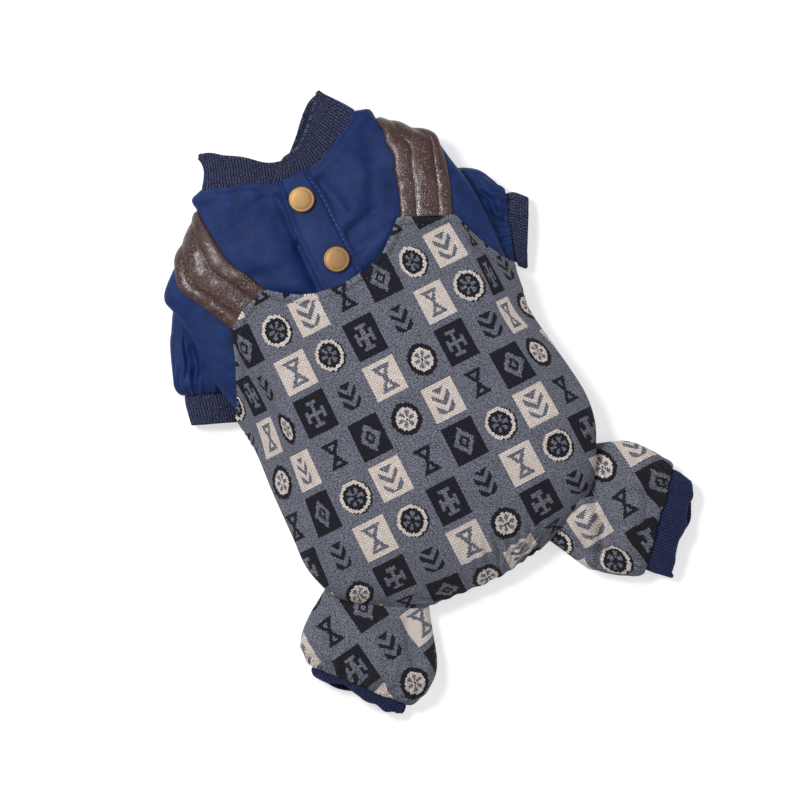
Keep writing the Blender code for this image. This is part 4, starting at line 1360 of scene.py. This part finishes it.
def build_limb(name, finish, wall, rows, columns):
    """A leg or a sleeve, whose cloth hangs a little over its cuff's seam, and the grid of its face."""
    limb = LIMBS[name]
    kind = name.split("_")[0]
    turns, shares, points = limb_sections(limb, LIMB_START, 1.0, fineness(rows), fineness(columns))
    normals = facing(points, True)
    flat = limb_flat(limb, turns, shares, points)
    last = len(points) - 1
    ways = edge_ways(points, normals, last, last - 1)

    def relief(j, i, point):
        rolled = 0.0013 * bump((1 - shares[j]) * limb.length - 0.0012, 0.0030)
        calm = min(1.0, (1.0 - shares[j]) / 0.05 + 0.25)
        return limb_fold(limb, point, shares[j], turns[i]) * calm + rolled

    for j, share in enumerate(shares):
        for i, turn in enumerate(turns):
            ease = bump(1 - share, 0.10) * (0.4 + 0.6 * max(0.0, math.sin(turn)))
            around = Vector((6 * math.cos(turn), 6 * math.sin(turn), 3.0))
            hang = OVERHANG[kind] * (1 + 0.9 * noise.noise(around))
            points[j][i] = points[j][i] + ways[i] * ease * max(0.0, hang)

    face = raised(points, normals, relief, 0.0)
    obj = cloth_wall(name + "_cloth", face, normals, flat, wall, finish)
    return obj, face


def rib_valley(ribs):
    """The relief of the ribs after some number of them: 0 on a crest and -1 in a valley."""
    return abs(math.sin(math.pi * ribs)) ** 0.8 - 1.0


def build_cuff(context, limb_name, node, finish):
    """A rib cuff from under its limb's seam outwards. Those of the legs are short and uneven."""
    sizes = context.scene.overalls_sizes
    limb = LIMBS[limb_name]
    kind = limb_name.split("_")[0]
    short = kind == "leg"
    span = (limb_centre(limb, 2) - limb_centre(limb, 1)).length
    start = 1.0 - CUFF_TUCK / limb.length
    probe = [limb_form(limb, 1.5, math.radians(3 * k)) for k in range(121)]
    ribs = round(running_lengths(probe)[-1] / sizes.rib_pitch)
    columns = ribs * fineness(COLUMNS_PER_RIB)
    rows = fineness(12 if short else 24)
    turns, shares, points = limb_sections(limb, start, 2.0, rows, columns)
    normals = facing(points, True)
    rib_shares = [ribs * i / columns for i in range(columns + 1)]
    flat = [[(rib * sizes.rib_pitch, (share - 1.0) * span) for rib in rib_shares] for share in shares]
    if short:
        ways = edge_ways(points, normals, len(points) - 1, len(points) - 2)
        for j, share in enumerate(shares):
            for i, turn in enumerate(turns):
                around = Vector((3 * math.cos(turn), 3 * math.sin(turn), len(node)))
                wave = 0.0042 * noise.noise(around * 0.6)
                swing = 0.0026 * noise.noise(around * 1.1) * max(0.0, math.sin(turn))
                points[j][i] = points[j][i] + (ways[i] * wave + normals[j][i] * swing) * max(0.0, share - 1.0)

    def relief(j, i, point):
        rounded = 0.0004 * noise.noise(point * 70.0)
        past_seam = max(0.0, shares[j] - 1.0) * span
        under_seam = -CUFF_STEP * bump(past_seam, OVERHANG[kind] + 0.0018)
        return sizes.rib_depth * rib_valley(rib_shares[i]) + rounded + under_seam

    face = raised(points, normals, relief, 0.0)
    obj = cloth_wall(node + "_rib", face, normals, flat, CUFF_CLOTH, finish, inner_step=2)
    cloth_sheet(obj, face, node)


class OVERALLS_OT_trunk(bpy.types.Operator):
    """Build the padded knit trunk, with holes where the legs join it"""

    bl_idname = "overalls.trunk"
    bl_label = "Trunk"

    def execute(self, context):
        lap = OVERALLS_WALL + LAP_GAP
        turns, spans, shares, points = trunk_grid()
        normals = facing(points, True)
        last = len(points) - 1
        slopes = [edge_slope(points, last, i) for i in range(len(turns))]
        flat = laid_flat(points, nearest(turns, math.pi / 2), nearest(shares, 0.5), PATTERN_ORIGIN)

        def relief(j, i, point):
            low, high = spans[i]
            along = low + (high - low) * shares[j]
            gap = (high - low) * (1 - shares[j]) * TORSO_LENGTH * slopes[i]
            sewn = max(0.0, math.sin(turns[i]) + 0.25)
            seam = -0.0007 * bump(gap - EDGE_STITCH_INSET, 0.0009) * min(1.0, sewn)
            pucker = 0.0005 * noise.noise(point * 170.0) * bump(gap - 0.002, 0.004)
            soft_edge = 0.0004 * bump(gap - 0.0012, 0.0014)
            side = min(abs(math.cos(turns[i]) - 1), abs(math.cos(turns[i]) + 1))
            side_seam = -0.0006 * bump(side, 0.0012)
            return lap + trunk_fold(point, along, turns[i]) + seam + pucker + soft_edge + side_seam

        face = raised(points, normals, relief, torso_floor() - lap)
        knit = material_of(context, "figured_knit_finish", figured_knit)
        obj = cloth_wall("trunk_cloth", face, normals, flat, OVERALLS_WALL, knit)
        cloth_sheet(obj, face, "overalls")
        for name in ("leg_left", "leg_right"):
            limb = LIMBS[name]
            around, _, hollow = limb_sections(limb, *HOLLOW)
            inner = raised(hollow, facing(hollow, True), lambda j, i, point: -LEG_CLOTH)
            low = [Vector((0.0, 0.0, 0.0030 * max(0.0, math.sin(turn)))) for turn in around]
            lines = [[p - d for p, d in zip(line, low)] for line in inner]
            cut_away(obj, closed_form("hollow_" + name, lines))
        return {"FINISHED"}


class OVERALLS_OT_legs(bpy.types.Operator):
    """Build both rear legs, trimmed where they join the trunk"""

    bl_idname = "overalls.legs"
    bl_label = "Legs"

    def execute(self, context):
        knit = material_of(context, "figured_knit_finish", figured_knit)
        for name in ("leg_left", "leg_right"):
            obj, face = build_limb(name, knit, LEG_CLOTH, 90, 190)
            cut_away(obj, trunk_form(OVERALLS_WALL / 2 + LAP_GAP))
            cloth_sheet(obj, face, name)
        return {"FINISHED"}


def trunk_form(out):
    """The form that lies out metres outside the torso, from the tail hem to the bib's edge."""
    turns = even_turns(lambda turn: torso_form(0.5, turn), 90)
    spans = [(hem_edge(turn), bib_edge(turn)) for turn in turns]
    shares = [(k / 30) ** 1.2 for k in range(31)]
    points = between(lambda along, turn: torso_point(along, turn, out), turns, spans, shares)
    return closed_form("trunk_form", points)


def shirt_spans(turns):
    """Where each of the shirt's columns starts under the bib, and where it ends at the neck."""
    return [(bib_edge(turn) - BIB_LAP / TORSO_LENGTH, neck_edge(turn)) for turn in turns]


def shirt_form(out):
    """The form that lies out metres outside the shirt."""
    turns = even_turns(lambda turn: torso_form(0.8, turn), 90)
    spans = shirt_spans(turns)
    shares = [k / 20 for k in range(21)]
    points = between(lambda along, turn: torso_point(along, turn, out), turns, spans, shares)
    return closed_form("shirt_form", points)


def crease_height(creases, point):
    """How far a table of straight creases lifts or sinks a place, seen from above."""
    height = 0.0
    place = Vector((point.x, point.y))
    for crease in creases:
        away = away_from(place, Vector((crease.x, crease.y)), Vector((crease.x_end, crease.y_end)))
        height += crease.height * bump(away, crease.breadth)
    return height


def shirt_fold(point, along, turn):
    """Creases of the shirt's back, shared by the shirt, its placket and its stitching."""
    up_side = max(0.0, math.sin(turn)) ** 0.5
    height = crease_height(SHIRT_CREASES, point)
    soft = 0.0009 * noise.noise(point * 38.0) + 0.00035 * noise.noise(point * 85.0)
    return (height + soft) * up_side


class OVERALLS_OT_shirt(bpy.types.Operator):
    """Build the navy shirt, from under the bib to its neck seam, with holes where the sleeves join it"""

    bl_idname = "overalls.shirt"
    bl_label = "Shirt"

    def execute(self, context):
        columns, rows = fineness(300), fineness(84)
        turns = even_turns(lambda turn: torso_form(0.8, turn), columns)
        spans = shirt_spans(turns)
        shares = [k / rows for k in range(rows + 1)]
        points = between(torso_form, turns, spans, shares)
        normals = facing(points, True)
        flat = laid_flat(points, columns // 2, rows // 2)
        bib_edges = [bib_edge(turn) for turn in turns]

        def relief(j, i, point):
            low, high = spans[i]
            along = low + (high - low) * shares[j]
            past_bib = (along - bib_edges[i]) * TORSO_LENGTH
            covered = bump(past_bib + 0.001 if past_bib > 0 else 0.0, 0.004)
            gap = (high - along) * TORSO_LENGTH
            seam = -0.0006 * bump(gap - 0.0012, 0.0010)
            puff = 0.0006 * bump(gap - 0.0045, 0.0022)
            ripple = 0.0004 * noise.noise(point * 150.0) * bump(gap, 0.006)
            free = 1 - 0.85 * covered
            return (shirt_fold(point, along, turns[i]) + ripple) * free + seam + puff - 0.0007 * covered

        face = raised(points, normals, relief, torso_floor())
        navy = material_of(context, "navy_cloth_finish", navy_cloth)
        obj = cloth_wall("shirt_cloth", face, normals, flat, SHIRT_WALL, navy)
        cloth_sheet(obj, face, "shirt")
        for name in ("sleeve_left", "sleeve_right"):
            limb = LIMBS[name]
            _, _, hollow = limb_sections(limb, *HOLLOW)
            inner = raised(hollow, facing(hollow, True), lambda j, i, point: -SHIRT_WALL)
            cut_away(obj, closed_form("hollow_" + name, inner))
        return {"FINISHED"}


class OVERALLS_OT_sleeves(bpy.types.Operator):
    """Build both sleeves, trimmed where they join the shirt"""

    bl_idname = "overalls.sleeves"
    bl_label = "Sleeves"

    def execute(self, context):
        navy = material_of(context, "navy_cloth_finish", navy_cloth)
        for name in ("sleeve_left", "sleeve_right"):
            obj, face = build_limb(name, navy, SLEEVE_CLOTH, 84, 150)
            cut_away(obj, shirt_form(-SHIRT_WALL / 2))
            cut_away(obj, trunk_form(OVERALLS_WALL + LAP_GAP + 0.0002))
            cloth_sheet(obj, face, name)
        return {"FINISHED"}


class OVERALLS_OT_cuffs(bpy.types.Operator):
    """Build the four rib cuffs"""

    bl_idname = "overalls.cuffs"
    bl_label = "Cuffs"

    def execute(self, context):
        flecked = material_of(context, "rib_knit_finish", rib_knit, RIB_FLECK_SHARE)
        for side in ("left", "right"):
            build_cuff(context, "sleeve_" + side, "sleeve_cuff_" + side, flecked)
        plain = material_of(context, "plain_rib_finish", rib_knit, PLAIN_RIB_FLECK_SHARE)
        for side in ("left", "right"):
            build_cuff(context, "leg_" + side, "leg_cuff_" + side, plain)
        return {"FINISHED"}


def collar_place(turn, share):
    """A point of the collar's outer face: round the neck by a turn, and up the band by a share."""
    degrees = math.degrees(turn)
    columns = ("aside", "rise", "upward", "swell")
    aside, rise, upward, swell = (smooth(COLLAR, column, degrees) * COLLAR_RISE for column in columns)
    lap = 0.0013
    lift = lap * bump(degrees - 98, 24) - lap * bump(degrees + 270, 24)
    lift *= min(1.0, share * 2.5)
    outward = swell * math.sin(math.pi * share) * math.copysign(1, math.cos(turn))
    outward += 0.0016 * math.sin(math.pi * share) * bump(degrees + 180, 40)
    tip = max(bump(degrees + 10, 42), bump(degrees + 192, 36))
    reach = share - (0.15 * tip + 0.09 * bump(degrees + 4, 17)) * share**2.5
    return collar_seam(turn) + Vector((aside * reach + outward, rise * reach, upward * share + lift))


class OVERALLS_OT_collar(bpy.types.Operator):
    """Build the rib collar, whose right end lies over its left end"""

    bl_idname = "overalls.collar"
    bl_label = "Collar"

    def execute(self, context):
        sizes = context.scene.overalls_sizes
        span = COLLAR_LEFT_END - COLLAR_RIGHT_END
        fine = [COLLAR_RIGHT_END + span * k / 300 for k in range(301)]
        probe = [(collar_place(turn, 0.0) + collar_place(turn, 1.0)) / 2 for turn in fine]
        ribs = round(running_lengths(probe)[-1] / sizes.rib_pitch)
        columns = ribs * fineness(COLUMNS_PER_RIB)
        turns = evenly(fine, probe, columns)
        rows = fineness(20)
        shares = [k / rows for k in range(rows + 1)]
        points = [[collar_place(turn, share) for turn in turns] for share in shares]
        normals = facing(points, False)
        across = [k / columns * ribs * sizes.rib_pitch for k in range(columns + 1)]
        flat = [[(place, share * COLLAR_RISE) for place in across] for share in shares]

        def relief(j, i, point):
            wave = 0.0006 * noise.noise(point * 60.0) * shares[j]
            seam = -0.0006 * bump(shares[j], 0.06)
            hem = 0.0003 * bump(shares[j] - 1, 0.09)
            return sizes.rib_depth * rib_valley(ribs * i / columns) + wave + seam + hem

        face = raised(points, normals, relief)
        flecked = material_of(context, "rib_knit_finish", rib_knit, RIB_FLECK_SHARE)
        obj = cloth_wall("collar_rib", face, normals, flat, COLLAR_CLOTH, flecked, loop=False)
        cloth_sheet(obj, face, "collar")
        return {"FINISHED"}


def strap_spot(rows, step, w, out):
    """A point above the shirt on a strap, found from its turn and its share along the torso."""
    inner = (smooth(rows, "inner_along", step), smooth(rows, "inner_turn", step))
    outer = (smooth(rows, "outer_along", step), smooth(rows, "outer_turn", step))
    along = inner[0] * (1 - w) + outer[0] * w
    turn = math.radians(inner[1] * (1 - w) + outer[1] * w)
    ahead = bib_edge(turn) - STRAP_TUCK / TORSO_LENGTH
    along = max(along, ahead) if step < 0.3 else along
    return torso_point(along, turn, out)


def strap_channel(w):
    """How full the strap's padding is across its width, in three channels between sewn lines and edges."""
    marks = (0.0, *STRAP_SEAMS, 1.0)
    for low, high in zip(marks, marks[1:]):
        if low <= w <= high:
            return math.sin(math.pi * (w - low) / (high - low)) ** 0.55
    return 0.0


class OVERALLS_OT_straps(bpy.types.Operator):
    """Build both straps, with three padded channels and their stitching"""

    bl_idname = "overalls.straps"
    bl_label = "Straps"

    def execute(self, context):
        leather = material_of(context, "brown_leather_finish", brown_leather)
        thread = material_of(context, "brown_thread", sewing_thread, 58, 38, 32)
        for node, rows, turned in (("strap_left", STRAP_LEFT, True), ("strap_right", STRAP_RIGHT, False)):
            columns, steps = fineness(56), fineness(170)
            widths = [k / columns for k in range(columns + 1)]
            widths = widths[::-1] if turned else widths
            shares = [k / steps for k in range(steps + 1)]
            points = [[strap_spot(rows, step, w, STRAP_REST) for w in widths] for step in shares]
            normals = facing(points, False)
            flat = laid_flat(points, columns // 2, steps // 2)

            def relief(j, i, point):
                full = strap_channel(widths[i])
                wrinkle = 0.00030 * noise.noise(Vector((point.x * 60, point.y * 130, node == "strap_left")))
                ripple = 0.00018 * noise.noise(point * 300.0)
                padding = 0.0010 * full * (1 + 0.18 * noise.noise(point * 75.0))
                return 0.0009 + padding + (wrinkle + ripple) * full

            face = raised(points, normals, relief)
            obj = cloth_wall(node + "_leather", face, normals, flat, STRAP_LEATHER, leather, loop=False)
            cloth_sheet(obj, face, node)
            for number, seam in enumerate(STRAP_SEAMS):
                i = nearest(widths, seam)
                path = [(face[j][i] + normals[j][i] * 0.0001, normals[j][i]) for j in range(3, steps - 3)]
                stitches(f"{node}_stitches_{number + 1}", path, *STRAP_STITCH, thread)
        return {"FINISHED"}


class OVERALLS_OT_placket(bpy.types.Operator):
    """Build the button strip, with its folded left edge and the stitched line on its right"""

    bl_idname = "overalls.placket"
    bl_label = "Placket"

    def execute(self, context):
        columns, rows = fineness(60), fineness(150)
        points = [[self.spot(i / columns, j / rows) for i in range(columns + 1)] for j in range(rows + 1)]
        normals = facing(points, False)
        flat = [[(p.x, p.y) for p in line] for line in points]

        def relief(j, i, point):
            w = i / columns
            fold = 0.0012 * bump(w - 0.05, 0.08)
            sewn = -0.0008 * bump(w - PLACKET_SEAM, 0.05)
            ripple = 0.00035 * noise.noise(point * 120.0)
            return 0.0006 + fold + sewn + ripple

        face = raised(points, normals, relief)
        navy = material_of(context, "navy_cloth_finish", navy_cloth)
        obj = cloth_wall("placket_cloth", face, normals, flat, PLACKET_CLOTH, navy, loop=False)
        cloth_sheet(obj, face, "placket")
        i = round(columns * PLACKET_SEAM)
        path = [(face[j][i] + normals[j][i] * 0.00012, normals[j][i]) for j in range(2, rows - 4)]
        thread = material_of(context, "navy_thread", sewing_thread, 88, 108, 158)
        stitches("placket_stitches", path, *PLACKET_STITCH, thread)
        return {"FINISHED"}

    @staticmethod
    def spot(w, share):
        """A point above the shirt: across the strip by w, and from the bib to the neck by a share."""
        left, right = -0.0110 + 0.0022 * share, 0.0108 + 0.0016 * share
        across = (left + (right - left) * w) / (TORSO_WIDTH / 2)
        turn = turn_at(across, 0.8)
        low = bib_edge(turn) - 0.0012 / TORSO_LENGTH
        high = neck_edge(turn) + 0.0003 / TORSO_LENGTH
        along = low + (high - low) * share
        point = torso_form(along, turn)
        lift = 0.25 * shirt_fold(point, along, turn) + PLACKET_REST
        return torso_point(along, turn, max(lift, PLACKET_REST) + 0.0004)


class OVERALLS_OT_caps(bpy.types.Operator):
    """Build the two brass snap caps, turned with a rolled rim"""

    bl_idname = "overalls.caps"
    bl_label = "Snap caps"

    def execute(self, context):
        brass = material_of(context, "brass_finish", brushed_brass)
        radius = context.scene.overalls_sizes.cap_diameter / 2
        for node in ("snap_cap_upper", "snap_cap_lower"):
            low, high = (Vector(corner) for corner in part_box(node))
            centre = (low + high) / 2
            spot = centre - SHIFT
            across = spot.x / (TORSO_WIDTH / 2)
            along = spot.y / TORSO_LENGTH
            normal = surface_normal(torso_form, along, turn_at(across, along))
            obj = self.turned(node + "_brass", radius, brass, centre, -normal if normal.z < 0 else normal)
            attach(obj, "root")
            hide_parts(node)
        return {"FINISHED"}

    @staticmethod
    def turned(name, radius, finish, centre, normal):
        """A cap spun from half of its section, with its middle at the centre and its face to the normal."""
        profile = rows_of(
            "reach height",
            (0.000, 0.92),
            (0.500, 0.90),
            (0.720, 0.84),
            (0.800, 0.78),
            (0.850, 0.79),
            (0.900, 0.80),
            (0.955, 0.72),
            (0.990, 0.52),
            (1.000, 0.30),
            (0.985, 0.10),
            (0.930, -0.10),
            (0.820, -0.16),
            (0.000, -0.16),
        )
        bm = bmesh.new()
        verts = [bm.verts.new((row.reach * radius, 0, row.height * CAP_HEIGHT)) for row in profile]
        edges = [bm.edges.new(pair) for pair in zip(verts, verts[1:])]
        full_turn = {"axis": (0, 0, 1), "cent": (0, 0, 0), "angle": math.tau}
        bmesh.ops.spin(bm, geom=verts + edges, steps=72, use_merge=True, **full_turn)
        bmesh.ops.remove_doubles(bm, verts=bm.verts, dist=1e-6)
        bmesh.ops.recalc_face_normals(bm, faces=bm.faces)
        tilt = normal.to_track_quat("Z", "Y").to_matrix().to_4x4()
        place = Matrix.Translation(centre - normal * CAP_SINK) @ tilt
        bmesh.ops.transform(bm, matrix=place, verts=bm.verts)
        return finished(name, bm, finish)


class OVERALLS_OT_edge_stitching(bpy.types.Operator):
    """Sew the line of stitches inside the bib's edge"""

    bl_idname = "overalls.edge_stitching"
    bl_label = "Edge stitching"

    def execute(self, context):
        lap = OVERALLS_WALL + LAP_GAP
        path = []
        for k in range(241):
            turn = math.radians(192 - 204 * k / 240)
            along = bib_edge(turn)
            around = [torso_form(bib_edge(turn + s), turn + s) for s in (0.02, -0.02)]
            ahead = torso_form(along, turn) - torso_form(along - 0.01, turn)
            slope = max(0.25, (around[1] - around[0]).normalized().cross(ahead.normalized()).length)
            spot = along - EDGE_STITCH_INSET / slope / TORSO_LENGTH
            out = lap + trunk_fold(torso_form(spot, turn), spot, turn) - 0.0003
            path.append((torso_point(spot, turn, out), surface_normal(torso_form, spot, turn)))
        path = [(point, -normal if normal.z < -0.2 else normal) for point, normal in path]
        pitch = context.scene.overalls_sizes.stitch_pitch
        thread = material_of(context, "grey_thread", sewing_thread, 66, 69, 80)
        stitches("bib_stitches", path, pitch, EDGE_STITCH_LENGTH, STITCH_WIDTH, thread)
        return {"FINISHED"}


class OVERALLS_OT_stage(bpy.types.Operator):
    """Set the pale floor, the soft lights and the camera over the garment"""

    bl_idname = "overalls.stage"
    bl_label = "Stage"

    # The photograph is 400 mm across, and its right edge lies 27 degrees clockwise of the garment's right
    view_width = 0.400
    camera_height = 2.4
    roll = math.radians(-27)
    middle = (-0.0011, 0.0988)

    def execute(self, context):
        scene = context.scene
        bm = bmesh.new()
        bmesh.ops.create_grid(bm, x_segments=2, y_segments=2, size=2.5)
        bmesh.ops.translate(bm, verts=bm.verts, vec=(0, 0, -0.0002))
        finished("floor", bm, material_of(context, "pale_floor", pale_floor))

        world = bpy.data.worlds.new("studio")
        world.use_nodes = True
        world.node_tree.nodes["Background"].inputs["Color"].default_value = (1.0, 1.0, 1.0, 1.0)
        world.node_tree.nodes["Background"].inputs["Strength"].default_value = 0.30
        scene.world = world
        self.light("key_light", (-0.36, 0.66, 1.35), 0.50, 19.0)
        self.light("fill_light", (0.80, -0.45, 1.3), 1.2, 4.5)

        camera = bpy.data.objects.new("camera", bpy.data.cameras.new("camera"))
        scene.collection.objects.link(camera)
        camera.data.type = "ORTHO"
        camera.data.ortho_scale = self.view_width
        camera.data.clip_end = 10
        camera.location = Vector((*self.middle, self.camera_height)) + Vector((SHIFT.x, SHIFT.y, 0))
        camera.rotation_euler = (0, 0, self.roll)
        scene.camera = camera
        scene.view_settings.view_transform = "Standard"
        return {"FINISHED"}

    @staticmethod
    def light(name, place, size, power):
        """A round soft light that faces the garment."""
        light = bpy.data.lights.new(name, "AREA")
        light.shape = "DISK"
        light.size = size
        light.energy = power
        obj = bpy.data.objects.new(name, light)
        obj.location = place
        obj.rotation_euler = (-Vector(place)).to_track_quat("-Z", "Y").to_euler()
        bpy.context.scene.collection.objects.link(obj)


class OVERALLS_PT_panel(bpy.types.Panel):
    """Lists the garment's pieces and its sizes and colours"""

    bl_idname = "OVERALLS_PT_panel"
    bl_label = "Pet overalls"
    bl_space_type = "VIEW_3D"
    bl_region_type = "UI"
    bl_category = "Pet overalls"

    def draw(self, context):
        layout = self.layout
        for group in (context.scene.overalls_sizes, context.scene.overalls_colours):
            for name in group.__annotations__:
                layout.prop(group, name)
        for operator in OPERATORS:
            layout.operator(operator.bl_idname)


OPERATORS = (
    OVERALLS_OT_trunk,
    OVERALLS_OT_legs,
    OVERALLS_OT_shirt,
    OVERALLS_OT_sleeves,
    OVERALLS_OT_cuffs,
    OVERALLS_OT_collar,
    OVERALLS_OT_straps,
    OVERALLS_OT_placket,
    OVERALLS_OT_caps,
    OVERALLS_OT_edge_stitching,
    OVERALLS_OT_stage,
)
CLASSES = (OverallsSizes, OverallsColours, *OPERATORS, OVERALLS_PT_panel)


def register():
    for item in CLASSES:
        bpy.utils.register_class(item)
    bpy.types.Scene.overalls_sizes = bpy.props.PointerProperty(type=OverallsSizes)
    bpy.types.Scene.overalls_colours = bpy.props.PointerProperty(type=OverallsColours)


def unregister():
    del bpy.types.Scene.overalls_colours
    del bpy.types.Scene.overalls_sizes
    for item in reversed(CLASSES):
        bpy.utils.unregister_class(item)


def main():
    register()
    bpy.ops.overalls.trunk()
    bpy.ops.overalls.legs()
    bpy.ops.overalls.shirt()
    bpy.ops.overalls.sleeves()
    bpy.ops.overalls.cuffs()
    bpy.ops.overalls.collar()
    bpy.ops.overalls.straps()
    bpy.ops.overalls.placket()
    bpy.ops.overalls.caps()
    bpy.ops.overalls.edge_stitching()
    bpy.ops.overalls.stage()


if __name__ == "__main__":
    main()
